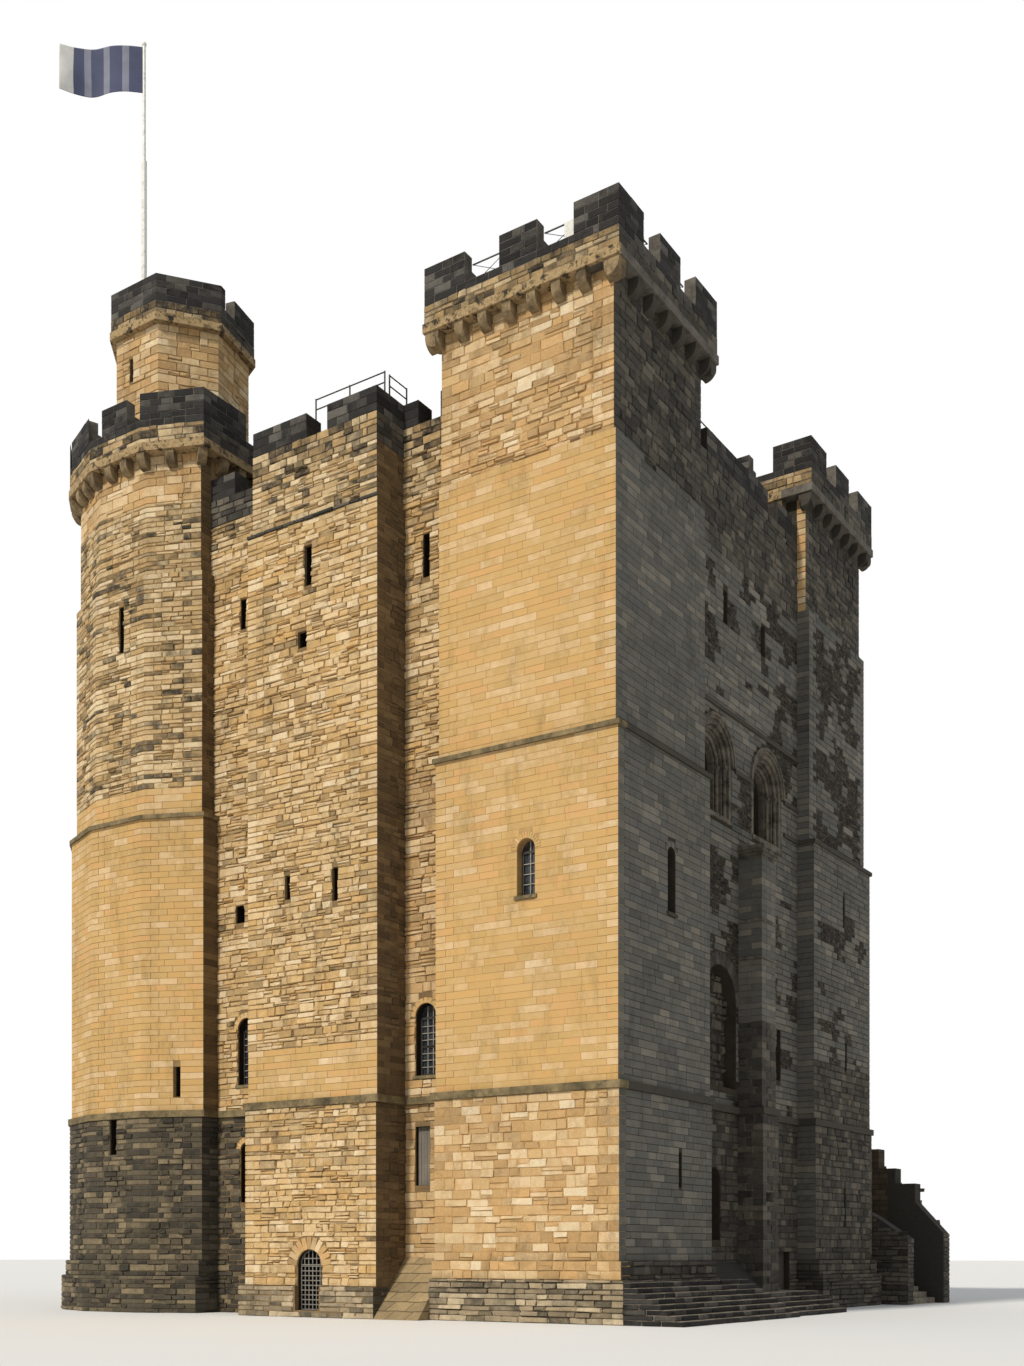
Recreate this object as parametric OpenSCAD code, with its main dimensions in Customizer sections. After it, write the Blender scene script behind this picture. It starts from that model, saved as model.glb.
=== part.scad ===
// Norman castle keep with four corner turrets, a west buttress and an east stair.
// Millimetres. +X east, +Y north, +Z up. Origin: middle of the keep at ground level.

/* [Keep] */
// East to west width over the turret faces
keep_w = 17000; // [16400:100:17600]
// South to north length over the turret faces
keep_l = 19600; // [19000:100:20200]
// Set-back of the west and east walls behind the turret faces
side_recess = 600; // [450:50:750]
// Set-back of the south and north walls behind the turret faces
end_recess = 550; // [450:50:700]

/* [Levels] */
// Top of the rough plinth
plinth_h = 1500; // [1300:50:1700]
// Lower string course, underside
string_low_z = 5600; // [5400:50:5800]
// Upper string course, underside
string_high_z = 14300; // [14000:50:14600]
// Top of the smooth ashlar, where the turrets step in
offset_z = 21300; // [21000:50:21600]
// Roof walk behind the parapets
roof_z = 22700; // [22500:50:22900]
// Top of the main wall parapets
parapet_top_z = 24100; // [23900:50:24300]
// Springing of the south-west turret parapet
sw_lip_z = 25250; // [25100:50:25400]
// Springing of the other turret parapets
turret_lip_z = 24750; // [24600:50:24950]
// Springing of the flag turret parapet
flag_lip_z = 29600; // [29400:50:29800]

/* [Turrets] */
// South-west turret, east to west
sw_w = 4930; // [4700:10:5100]
// South-west turret, south to north
sw_l = 5300; // [5100:10:5500]
// South-east and north-east turrets, east to west
east_turret_w = 4830; // [4700:10:5000]
// South-east and north-east turrets, south to north
east_turret_l = 4800; // [4600:10:5000]
// Set-back of the stage between the upper string and the offset
stage_in = 150; // [80:10:200]
// Further set-back of the top stage
top_stage_in = 120; // [60:10:160]
// Extra thickness of the stage below the lower string
stage_out = 50; // [30:10:80]
// Projection of the turret parapets on their corbels
corbel_out = 320; // [260:10:360]
// Height of the corbel stones
corbel_h = 400; // [340:10:480]
// Width of a corbel stone
corbel_w = 260; // [220:10:320]
// Distance from one corbel to the next
corbel_pitch = 720; // [640:10:800]
// Thickness of the turret parapets
parapet_t = 520; // [420:10:600]
// Height of the turret parapets up to the crenel sills
sill_h = 900; // [800:10:1000]
// Height of the merlons above the sills
merlon_h = 770; // [650:10:850]
// Length of a corner merlon along each side
corner_merlon = 1240; // [1100:10:1350]
// Length of a middle merlon
merlon_l = 1110; // [1000:10:1200]

/* [North-west turret] */
// Length of the sides next to the walls
nw_side_a = 1890; // [1800:10:1980]
// Length of the sides parallel to the walls
nw_side_b = 2080; // [2000:10:2160]
// Length of the sides next to the keep corner
nw_side_c = 1850; // [1780:10:1920]
// Turn from one side to the next, in degrees
nw_turn = 22.5; // [21:0.5:24]
// Distance round the seven-sided flag turret's corners, from its middle
flag_turret_r = 2050; // [1950:10:2150]
// Flag turret middle, west of the keep's middle
flag_turret_x = 5840; // [5740:10:5940]
// Flag turret middle, north of the keep's middle
flag_turret_y = 7300; // [7200:10:7400]

/* [Buttress] */
// Width of the west buttress
buttress_w = 4450; // [4300:10:4600]
// South side of the buttress, south of the keep's middle
buttress_s = 3050; // [2950:10:3150]
// Projection of the buttress in front of the recessed wall
buttress_out = 1200; // [1100:10:1300]

/* [Openings] */
// Width of the grille doorway
gate_w = 830; // [780:10:900]
// Height of the grille doorway to its springing
gate_spring_h = 1200; // [1100:10:1300]
// Width of the south door opening
door_w = 840; // [800:10:900]
// Height of the south door opening
door_h = 1640; // [1560:10:1720]
// Clear width of the two great round-arched windows
great_w = 1200; // [1100:10:1300]
// Width of a slit
slit_w = 220; // [180:10:260]
// Thickness of the window glass
glass_t = 24; // [12:2:40]

/* [South side] */
// Width of the south pilaster
pilaster_w = 920; // [860:10:980]
// Projection of the south pilaster
pilaster_out = 720; // [680:10:760]
// Rise of one step of the south plinth
step_h = 125; // [110:5:140]
// Tread of one step of the south plinth
step_t = 195; // [180:5:215]

/* [Stair] */
// Width of the forebuilding stair
stair_w = 2300; // [2200:10:2400]
// Rise of one stair
riser = 190; // [180:1:200]
// Tread of one stair
tread = 290; // [280:1:300]
// Thickness of the stair's side walls
stair_wall_t = 600; // [550:10:650]

/* [Flag] */
// Top of the flagpole above the ground
pole_top_z = 39200; // [38900:50:39400]
// Radius of the lower part of the flagpole
pole_r = 80; // [70:1:90]
// Height of the flag at its hoist
flag_h = 1430; // [1350:10:1500]
// Length of the flag along its fly
flag_l = 2550; // [2450:10:2650]

/* [Hidden] */

// How far a cutting shape runs past the face that it cuts
cut = 60;
// Clearance of the moving leaves
leaf_gap = 12;
leaf_seat = 8;
arc_fn = 48;
small_fn = 24;

// Turret and wall faces
west_x = -keep_w / 2;
east_x = keep_w / 2;
south_y = -keep_l / 2;
north_y = keep_l / 2;
wall_west_x = west_x + side_recess;
wall_east_x = east_x - side_recess;
wall_south_y = south_y + end_recess;
wall_north_y = north_y - end_recess;

// Inner lines, where turrets and walls meet round the hall
sw_x = west_x + sw_w;
sw_y = south_y + sw_l;
se_x = east_x - east_turret_w;
se_y = south_y + east_turret_l;
ne_y = north_y - east_turret_l;

// Storeys
floor_t = 400;
ground_t = 250;
first_z = string_low_z + 200;
hall_z = 9800;
upper_z = 18000;
deck_t = 300;

// North-west turret outline: it starts on the west recess and ends on the north recess
nw_reach = nw_side_a * cos(nw_turn) + nw_side_b + nw_side_c * cos(nw_turn);
nw_inset = 530;
nw_start_y = round(north_y - nw_inset - nw_reach);
nw_end_x = round(west_x + nw_inset + nw_reach);
nw_bulge = nw_side_a * sin(nw_turn);
// A whole length that reaches past the slanting sides, so that the inner faces are cut exactly
nw_beyond = round(3 * nw_bulge);
nw_outline = [
    [west_x, nw_start_y],
    [west_x - nw_bulge, nw_start_y + nw_side_a * cos(nw_turn)],
    [west_x - nw_bulge, nw_start_y + nw_side_a * cos(nw_turn) + nw_side_b],
    [west_x, north_y - nw_inset],
    [west_x + nw_inset, north_y],
    [nw_end_x - nw_side_a * cos(nw_turn) - nw_side_b, north_y + nw_bulge],
    [nw_end_x - nw_side_a * cos(nw_turn), north_y + nw_bulge],
    [nw_end_x, north_y],
    [nw_end_x, nw_start_y]
];
nw_middle = [(west_x + nw_end_x) / 2, (nw_start_y + north_y) / 2];

// Buttress and the middles of the two recesses beside it
buttress_x = wall_west_x - buttress_out;
buttress_n = -buttress_s + buttress_w;
ab_mid = (sw_y - buttress_s) / 2;
nb_mid = (buttress_n + nw_start_y) / 2;

// Wall openings, as [y of the middle, underside z, width, height, round head]
ab_window = [ab_mid + 55, 6350, 660, 1890, true];
nb_window = [nb_mid + 70, 6500, 620, 1900, true];
nb_low_window = [nb_mid + 70, 3150, 420, 1700, true];
ab_slit = [ab_mid + 35, 19380, slit_w, 1150, false];
nb_slit = [nb_mid + 170, 19500, slit_w, 860, false];
nb_hole = [nb_mid + 290, 11130, 330, 500, false];
boarded = [ab_mid + 155, 3470, 480, 1550, false];
buttress_slits = [
    [-720, 19450, 260, 1080, false],
    [0, 11190, 190, 650, false],
    [-1650, 10950, 200, 880, false]
];
buttress_square = [-520, 17840, 320, 440, false];
sw_west_window = [south_y + 2580, 10480, 520, 1400, true];
sw_south_window = [west_x + 2750, 10250, 420, 1650, true];
sw_south_slit = [west_x + 3130, 3370, 170, 880, false];
se_slits = [
    [east_x - 2340, 12050, 190, 980, false],
    [east_x - 2150, 7520, 190, 880, false],
    [east_x - 2370, 2540, 170, 1230, false]
];
south_slits = [[-1440, 19180, 300, 900, false], [1120, 19120, 300, 900, false]];
south_low_arch = [-2150, 2060, 760, 2000, true];
south_tall_slit = [2240, 6850, 330, 1520, false];
// Ruined round arch, now a shallow recess
ruin_arch = [-1750, 6300, 2050, 3350, true];
ruin_arch_in = 380;
gate_mid = -820;
gate_sill_z = 180;
door_mid = 2660;
door_sill_z = 100;
// Great windows: middle, underside of the opening and springing
great_west_x = -2090;
great_east_x = 1380;
great_sill_z = 13750;
great_spring_z = 15270;

// Reveal of a narrow opening before its embrasure widens
reveal = 500;
// Depth of the blocked slits
blind_in = 350;
embrasure_extra = 700;
shaft_w = 2100;

stone_light = [0.80, 0.66, 0.42];
stone_plain = [0.74, 0.60, 0.40];
stone_dark = [0.22, 0.20, 0.18];
stone_grey = [0.50, 0.46, 0.40];
timber = [0.40, 0.33, 0.26];
iron = [0.12, 0.12, 0.13];

// A box from its low corner to its high corner
module span(lo, hi) {
    translate(lo) cube(hi - lo);
}

// A 2D rectangle grown by g on every side
module grown(x0, y0, x1, y1, g = 0) {
    translate([x0 - g, y0 - g]) square([x1 - x0 + 2 * g, y1 - y0 + 2 * g]);
}

// Opening cut along Y: o = [x middle, underside, width, height, round head]
module cut_y(o, y0, y1) {
    straight = o[4] ? o[3] - o[2] / 2 : o[3];
    span([o[0] - o[2] / 2, y0, o[1]], [o[0] + o[2] / 2, y1, o[1] + straight]);
    if (o[4]) {
        translate([o[0], y1, o[1] + straight]) rotate([90, 0, 0])
            cylinder(h = y1 - y0, r = o[2] / 2, $fn = arc_fn);
    }
}

// Opening cut along X: o = [y middle, underside, width, height, round head]
module cut_x(o, x0, x1) {
    straight = o[4] ? o[3] - o[2] / 2 : o[3];
    span([x0, o[0] - o[2] / 2, o[1]], [x1, o[0] + o[2] / 2, o[1] + straight]);
    if (o[4]) {
        translate([x0, o[0], o[1] + straight]) rotate([0, 90, 0])
            cylinder(h = x1 - x0, r = o[2] / 2, $fn = arc_fn);
    }
}

// The same opening with its inner embrasure
function widened(o) = [o[0], o[1] - 100, o[2] + embrasure_extra, o[3] + embrasure_extra / 2, o[4]];

module window_x(o, x0, x1) {
    cut_x(o, x0 - cut, x0 + reveal + 1);
    cut_x(widened(o), x0 + reveal, x1 + cut);
}

module window_y(o, y0, y1) {
    cut_y(o, y0 - cut, y0 + reveal + 1);
    cut_y(widened(o), y0 + reveal, y1 + cut);
}

// Projection of the plinth's foot in front of the turret faces
foot_out = stage_out + 240;

// Stages of a square turret, each [z0, z1, growth of its outer faces]
function stages(lip_z) = [
    [0, plinth_h * 0.7, foot_out],
    [plinth_h * 0.7, plinth_h, (foot_out + stage_out) / 2],
    [plinth_h, string_low_z, stage_out],
    [string_low_z, string_high_z, 0],
    [string_high_z, offset_z, -stage_in],
    [offset_z, lip_z, -stage_in - top_stage_in]
];

// Turret body: outer corner at c, inner corner at i; the outer faces step in and out
module staged_turret(c, i, lip_z) {
    dx = sign(i[0] - c[0]);
    dy = sign(i[1] - c[1]);
    for (s = stages(lip_z)) {
        ox = c[0] - dx * s[2];
        oy = c[1] - dy * s[2];
        span([min(ox, i[0]), min(oy, i[1]), s[0]], [max(ox, i[0]), max(oy, i[1]), s[1]]);
    }
}

// Middle of a turret's hollow
function turret_mid(c, i) = [(c[0] + i[0]) / 2, (c[1] + i[1]) / 2];

module shaft(m, lip_z) {
    span([m[0] - shaft_w / 2, m[1] - shaft_w / 2, -cut],
         [m[0] + shaft_w / 2, m[1] + shaft_w / 2, lip_z + cut]);
}

sw_c = [west_x, south_y];
sw_i = [sw_x, sw_y];
se_c = [east_x, south_y];
se_i = [se_x, se_y];
ne_c = [east_x, north_y];
ne_i = [se_x, ne_y];
sw_mid = turret_mid(sw_c, sw_i);
se_mid = turret_mid(se_c, se_i);
ne_mid = turret_mid(ne_c, ne_i);

module sw_turret() {
    color(stone_light) difference() {
        staged_turret(sw_c, sw_i, sw_lip_z);
        shaft(sw_mid, sw_lip_z);
        window_x(sw_west_window, west_x, sw_mid[0]);
        window_y(sw_south_window, south_y, sw_mid[1]);
        window_y(sw_south_slit, south_y - stage_out, sw_mid[1]);
    }
}

module se_turret() {
    color(stone_grey) difference() {
        staged_turret(se_c, se_i, turret_lip_z);
        shaft(se_mid, turret_lip_z);
        for (o = se_slits) window_y(o, south_y - stage_out, se_mid[1]);
    }
}

module ne_turret() {
    color(stone_grey) difference() {
        staged_turret(ne_c, ne_i, turret_lip_z);
        shaft(ne_mid, turret_lip_z);
        for (o = se_slits) {
            mirror([0, 1, 0]) window_y(o, -north_y - stage_out, -ne_mid[1]);
        }
    }
}

// Outline of a turret's top stage as [x0, y0, x1, y1]
function top_rect(c, i) =
    let (g = stage_in + top_stage_in, o = [c[0] + sign(i[0] - c[0]) * g, c[1] + sign(i[1] - c[1]) * g])
    [min(o[0], i[0]), min(o[1], i[1]), max(o[0], i[0]), max(o[1], i[1])];

// Corbel stone with a rounded foot: it projects along -Y from the origin and hangs below z = 0
module corbel(w, out, h) {
    round_r = out * 0.92;
    translate([-w / 2, 0, 0]) rotate([90, 0, 90]) linear_extrude(height = w) union() {
        translate([-out, -h + round_r]) square([out, h - round_r]);
        intersection() {
            translate([-out + round_r, -h + round_r]) circle(r = round_r, $fn = arc_fn);
            translate([-out, -h]) square([out, round_r]);
        }
        translate([-out + round_r, -h]) square([out - round_r, round_r]);
    }
}

// Corbels along a side of length l that starts at the origin and runs along +X
module corbel_row(l, pitch) {
    n = round(l / pitch);
    for (k = [1 : n - 1]) {
        translate([l * k / n, 0, 0]) corbel(corbel_w, corbel_out, corbel_h);
    }
}

// Corbel stones round a rectangular top stage, with a larger one on each corner
module corbel_table(r, lip_z) {
    w = r[2] - r[0];
    l = r[3] - r[1];
    translate([0, 0, lip_z]) {
        translate([r[0], r[1], 0]) corbel_row(w, corbel_pitch);
        translate([r[2], r[1], 0]) rotate(90) corbel_row(l, corbel_pitch);
        translate([r[2], r[3], 0]) rotate(180) corbel_row(w, corbel_pitch);
        translate([r[0], r[3], 0]) rotate(270) corbel_row(l, corbel_pitch);
        for (q = [[r[0], r[1], 0], [r[2], r[1], 90], [r[2], r[3], 180], [r[0], r[3], 270]]) {
            translate([q[0], q[1], 0]) rotate(q[2]) corner_corbel();
        }
    }
}

// The corner stone: two corbels that meet on the diagonal
module corner_corbel() {
    e = corbel_w * 0.35;
    difference() {
        union() {
            translate([-corbel_out / 2 + e / 2, 0, 0]) corbel(corbel_out + e, corbel_out, corbel_h);
            translate([0, -corbel_out / 2 + e / 2, 0]) rotate(-90)
                corbel(corbel_out + e, corbel_out, corbel_h);
        }
        translate([0, 0, -corbel_h - cut]) cube([corbel_w * 2, corbel_w * 2, corbel_h + 2 * cut]);
    }
}

module sw_corbels() {
    color(stone_plain) corbel_table(top_rect(sw_c, sw_i), sw_lip_z);
}

module se_corbels() {
    color(stone_plain) corbel_table(top_rect(se_c, se_i), turret_lip_z);
}

module ne_corbels() {
    color(stone_plain) corbel_table(top_rect(ne_c, ne_i), turret_lip_z);
}

// Height and reach of the moulded course under a parapet
lip_h = 230;
lip_out = 50;

// Share of a merlon's height that is upright inside, and its thickness above that
merlon_shoulder = 0.55;
merlon_top = 0.62;

// Outline moved outwards by g: each corner goes out along its bisector
function unit(v) = v / norm(v);
function moved(p, g) = [for (k = [0 : len(p) - 1])
    let (a = p[(k + len(p) - 1) % len(p)], b = p[k], c = p[(k + 1) % len(p)],
         u = unit(b - a), v = unit(c - b), nu = [-u[1], u[0]], nv = [-v[1], v[0]],
         m = (nu + nv) / (1 + nu * nv))
    b + g * m];

// Ring of wall inside the outline p, of thickness t
module ring_wall(p, t, z0, z1) {
    translate([0, 0, z0]) linear_extrude(height = z1 - z0) difference() {
        polygon(p);
        polygon(moved(p, -t));
    }
}

// Crenels in plan: each gap is [side, start, end], measured along that side of the outline
module crenels(p, gaps, t) {
    for (g = gaps) {
        a = p[g[0]];
        b = p[(g[0] + 1) % len(p)];
        translate(a) rotate(atan2(b[1] - a[1], b[0] - a[0]))
            translate([g[1], -t * 1.2]) square([g[2] - g[1], t * 1.4]);
    }
}

// Battlement on a clockwise outline: moulded course, low wall, and merlons with a stepped inner top
module battlement(p, t, lip_z, sill, h, gaps) {
    shoulder = h * merlon_shoulder;
    ring_wall(moved(p, lip_out), t + lip_out, lip_z, lip_z + lip_h);
    ring_wall(p, t, lip_z + lip_h, lip_z + sill);
    for (q = [[0, shoulder, t], [shoulder, h, t * merlon_top]]) {
        translate([0, 0, lip_z + sill + q[0]]) linear_extrude(height = q[1] - q[0]) difference() {
            polygon(p);
            polygon(moved(p, -q[2]));
            crenels(p, gaps, t);
        }
    }
}

// Two crenels on each side of a square turret, between its corner and middle merlons
function side_gaps(k, l) =
    [[k, corner_merlon, (l - merlon_l) / 2], [k, (l + merlon_l) / 2, l - corner_merlon]];

module square_parapet(r, lip_z) {
    x0 = r[0] - corbel_out;
    y0 = r[1] - corbel_out;
    x1 = r[2] + corbel_out;
    y1 = r[3] + corbel_out;
    gaps = [for (k = [0 : 3]) each side_gaps(k, k % 2 == 0 ? y1 - y0 : x1 - x0)];
    battlement([[x0, y0], [x0, y1], [x1, y1], [x1, y0]], parapet_t, lip_z, sill_h, merlon_h, gaps);
}

module sw_parapet() {
    color(stone_dark) square_parapet(top_rect(sw_c, sw_i), sw_lip_z);
}

module se_parapet() {
    color(stone_dark) square_parapet(top_rect(se_c, se_i), turret_lip_z);
}

module ne_parapet() {
    color(stone_dark) square_parapet(top_rect(ne_c, ne_i), turret_lip_z);
}

module nw_plan(g = 0) {
    polygon(moved(nw_outline, g));
}

// The turret's own walls stop at the inner lines of the keep
module nw_turret() {
    color(stone_light) difference() {
        union() {
            for (s = stages(turret_lip_z)) {
                translate([0, 0, s[0]]) linear_extrude(height = s[1] - s[0]) intersection() {
                    nw_plan(s[2]);
                    grown(west_x - nw_beyond, nw_start_y, nw_end_x, north_y + nw_beyond);
                }
            }
        }
        shaft(nw_middle, turret_lip_z);
        window_x(nw_slit, west_x - nw_bulge, nw_middle[0]);
        window_x(nw_hole, west_x - nw_bulge - stage_out, nw_middle[0]);
        cut_x(nw_blind_slit, west_x - nw_bulge, west_x + blind_in);
    }
}

nw_slit = [nw_start_y + nw_side_a + 830, 19240, 200, 1350, false];
nw_hole = [nw_start_y + nw_side_a + 960, 4570, 280, 1050, false];
nw_blind_slit = [nw_start_y + 735, 6180, 200, 870, false];
nw_top_in = stage_in + top_stage_in;

nw_corbel_pitch = 680;
// Joint between these corbels and the slanting faces behind them
nw_seat = 0.3;
nw_corbel_line = moved(nw_outline, nw_seat - nw_top_in);

// Corbels round the turret: one on each corner, turned along its bisector, and the rest between
module nw_corbels() {
    n = len(nw_corbel_line);
    outer = moved(nw_outline, corbel_out - nw_top_in);
    color(stone_plain) translate([0, 0, turret_lip_z]) for (k = [0 : n - 1]) {
        a = nw_corbel_line[k];
        b = nw_corbel_line[(k + 1) % n];
        side = atan2(a[1] - b[1], a[0] - b[0]);
        bisector = atan2(outer[k][1] - a[1], outer[k][0] - a[0]) + 90;
        count = max(1, round(norm(b - a) / nw_corbel_pitch));
        translate([a[0], a[1], 0]) rotate(bisector) corbel(corbel_w, corbel_out, corbel_h);
        if (count > 1) {
            for (j = [1 : count - 1]) {
                p = a + (b - a) * j / count;
                translate([p[0], p[1], 0]) rotate(side) corbel(corbel_w, corbel_out, corbel_h);
            }
        }
    }
}

// Crenels of the north-west parapet: one at the start of each side, as [side, start, end]
nw_gaps = [[1, 0, 560], [1, 1600, 2200], [2, 0, 250], [2, 1750, 2300], [4, 0, 300], [4, 1600, 2250],
           [5, 0, 250], [5, 1500, 2150], [8, 1100, 2200], [8, 3300, 4400], [7, 1100, 2200], [7, 3300, 4400]];

module nw_parapet() {
    color(stone_dark)
        battlement(moved(nw_outline, corbel_out - nw_top_in), parapet_t, turret_lip_z,
                   sill_h, merlon_h, nw_gaps);
}

// Seven-sided flag turret, one side facing west
flag_sides = 7;
flag_mid = [-flag_turret_x, flag_turret_y];
function flag_outline(r) = [for (k = [0 : flag_sides - 1])
    flag_mid + r * [cos(180 + (0.5 - k) * 360 / flag_sides), sin(180 + (0.5 - k) * 360 / flag_sides)]];
flag_wall_t = 450;
turret_floor_z = turret_lip_z + 50;
flag_slit = [flag_turret_y + 250, flag_lip_z - 1400, 150, 700, false];
// Low doorway on to the turret roof, on the side that faces the keep
flag_doorway = [flag_turret_y, turret_floor_z, 620, 1650, true];

module flag_turret() {
    p = flag_outline(flag_turret_r);
    color(stone_light) difference() {
        translate([0, 0, turret_floor_z]) linear_extrude(height = flag_lip_z - turret_floor_z) polygon(p);
        translate([0, 0, turret_floor_z - cut]) linear_extrude(height = flag_lip_z - turret_floor_z + 2 * cut)
            polygon(moved(p, -flag_wall_t));
        cut_x(flag_slit, -flag_turret_x - flag_turret_r - cut, -flag_turret_x - flag_turret_r / 2);
        cut_x(flag_doorway, -flag_turret_x + flag_turret_r / 2, -flag_turret_x + flag_turret_r + cut);
    }
}

flag_parapet_out = 170;
flag_parapet_t = flag_wall_t + 60;
flag_sill_h = 800;
flag_merlon_h = 600;
flag_crenel_w = 550;
flag_crenel_at = 1150;
// One crenel at the end of each side but the two that face west
flag_gaps = [for (k = [1 : 5]) [k, flag_crenel_at, flag_crenel_at + flag_crenel_w]];

module flag_turret_parapet() {
    color(stone_dark)
        battlement(flag_outline(flag_turret_r + flag_parapet_out), flag_parapet_t, flag_lip_z,
                   flag_sill_h, flag_merlon_h, flag_gaps);
}

// West wall behind the buttress, with its windows, slits and the low passage
module west_wall() {
    gate = [gate_mid, gate_sill_z, gate_w, gate_spring_h + gate_w / 2, true];
    color(stone_plain) difference() {
        span([wall_west_x, sw_y, 0], [sw_x, nw_start_y, roof_z]);
        for (o = [ab_window, nb_window, nb_low_window, ab_slit, nb_slit, nb_hole, boarded]) {
            window_x(o, wall_west_x, sw_x);
        }
        for (o = buttress_slits) cut_x(widened(o), wall_west_x - cut, sw_x + cut);
        cut_x(widened(buttress_square), wall_west_x - cut, sw_x + cut);
        cut_x(gate, wall_west_x - cut, sw_x + cut);
    }
}

base_h = 2300;

module west_buttress() {
    color(stone_plain) difference() {
        union() {
            span([buttress_x - stage_out, -buttress_s, base_h],
                 [wall_west_x, buttress_n + stage_out, string_low_z]);
            span([buttress_x, -buttress_s, string_low_z], [wall_west_x, buttress_n, offset_z]);
            span([buttress_x + 60, -buttress_s + 60, offset_z], [wall_west_x, buttress_n - 120, roof_z]);
        }
        for (o = buttress_slits) {
            cut_x(o, buttress_x - cut, buttress_x + reveal);
            cut_x(widened(o), buttress_x + reveal, wall_west_x + cut);
        }
        cut_x(buttress_square, buttress_x - cut, buttress_x + reveal);
        cut_x(widened(buttress_square), buttress_x + reveal, wall_west_x + cut);
    }
}

module buttress_base() {
    gate = [gate_mid, gate_sill_z, gate_w, gate_spring_h + gate_w / 2, true];
    color(stone_plain) difference() {
        union() {
            span([buttress_x - stage_out, -buttress_s, 0], [wall_west_x, buttress_n + stage_out, base_h]);
            span([buttress_x - stage_out - 120, -buttress_s, 0],
                 [wall_west_x, buttress_n + 200, plinth_h * 0.55]);
        }
        cut_x(gate, buttress_x - 4 * cut - stage_out, wall_west_x + cut);
    }
}

// Seat of the gate behind the front face of the buttress
gate_in = 120;
gate_bar = 26;

// Fixed round head of the grille
module gate_head() {
    r = gate_w / 2;
    x = buttress_x - stage_out + gate_in;
    z = gate_sill_z + gate_spring_h;
    color(iron) translate([x, gate_mid, z]) rotate([90, 0, 90]) linear_extrude(height = gate_bar) {
        difference() {
            intersection() {
                circle(r = r, $fn = arc_fn);
                translate([-r, 0]) square([2 * r, r]);
            }
            intersection() {
                circle(r = r - gate_bar, $fn = arc_fn);
                translate([-r, gate_bar]) square([2 * r, r]);
            }
        }
        for (k = [-2 : 2]) {
            y = k * r / 3;
            translate([y - gate_bar / 2, 0]) square([gate_bar, sqrt(r * r - y * y) - gate_bar / 2]);
        }
        translate([-r * 0.88, r * 0.4]) square([r * 1.76, gate_bar]);
    }
}

// Hinges stand in the middle of the gap between a leaf and its jamb: a fixed pintle carries a knuckle
hinge_seat = 0.3;
pintle_h = 40;
knuckle_h = 60;

// Fixed pintle at the origin: its lug reaches the jamb, which lies at the distance gap along -X
module pintle(r, gap) {
    translate([0, 0, -pintle_h - hinge_seat]) {
        cylinder(h = pintle_h, r = r, $fn = small_fn);
        translate([-gap, -r * 0.8, 0]) cube([gap, r * 1.6, pintle_h]);
    }
}

// Knuckle of the leaf above it: its lug reaches the leaf, which lies at the distance gap along +X
module knuckle(r, gap) {
    cylinder(h = knuckle_h, r = r, $fn = small_fn);
    translate([0, -r * 0.8, 0]) cube([gap + 1, r * 1.6, knuckle_h]);
}

gate_axis_x = buttress_x - stage_out + gate_in;
gate_axis_y = gate_mid - gate_w / 2 + leaf_gap / 2;
gate_hinge_r = leaf_gap / 2 - 0.5;
gate_hinge_z = [gate_sill_z + 160, gate_sill_z + gate_spring_h - 220];

// Square-headed grille leaf below the fixed head: it swings outwards on its south stile
module grille_gate() {
    w = gate_w - 2 * leaf_gap;
    h = gate_spring_h - 2 * leaf_gap;
    columns = 6;
    rows = 9;
    x = buttress_x - stage_out + gate_in;
    color(iron) translate([x, gate_mid - w / 2, gate_sill_z + leaf_gap]) rotate([90, 0, 90])
        linear_extrude(height = gate_bar) difference() {
            square([w, h]);
            for (i = [0 : columns - 1]) {
                for (j = [0 : rows - 1]) {
                    pitch_y = (w - gate_bar) / columns;
                    pitch_z = (h - gate_bar) / rows;
                    translate([gate_bar + i * pitch_y, gate_bar + j * pitch_z])
                        square([pitch_y - gate_bar, pitch_z - gate_bar]);
                }
            }
        }
    color(iron) for (z = gate_hinge_z) {
        translate([gate_axis_x, gate_axis_y, z]) rotate(90) knuckle(gate_hinge_r, leaf_gap / 2);
    }
}

// Fixed pintles of the grille and of the south door
module hinge_pintles() {
    color(iron) {
        for (z = gate_hinge_z) {
            translate([gate_axis_x, gate_axis_y, z]) rotate(90) pintle(gate_hinge_r, leaf_gap / 2);
        }
        for (z = door_hinge_z) {
            translate([door_axis_x, door_axis_y, z]) pintle(door_hinge_r, door_gap / 2);
        }
    }
}

// South wall between the turrets
module south_wall() {
    color(stone_grey) difference() {
        span([sw_x, wall_south_y, 0], [se_x, sw_y, roof_z]);
        great_cut(great_west_x);
        great_cut(great_east_x);
        for (o = south_slits) cut_y(o, wall_south_y - cut, wall_south_y + blind_in);
        window_y(south_low_arch, wall_south_y, sw_y);
        cut_y(ruin_arch, wall_south_y - cut, wall_south_y + ruin_arch_in);
        window_y(south_tall_slit, wall_south_y, sw_y);
        // Passage of the south door: narrow reveal, then wide enough for the leaf
        cut_y([door_mid, door_sill_z, door_w, door_h, false], wall_south_y - cut, wall_south_y + door_in + 1);
        cut_y([door_mid, door_sill_z, door_w + 2 * door_rebate, door_h + door_rebate, false],
              wall_south_y + door_in, sw_y + cut);
    }
}

door_in = 160;
door_t = 60;
door_rebate = 80;
door_gap = 20;
door_axis_x = door_mid - door_w / 2 - door_rebate + door_gap / 2;
door_axis_y = wall_south_y + door_in + leaf_seat + door_t;
door_hinge_r = door_gap / 2 - 2;
door_hinge_z = [door_sill_z + 260, door_sill_z + door_h - 320];

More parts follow.
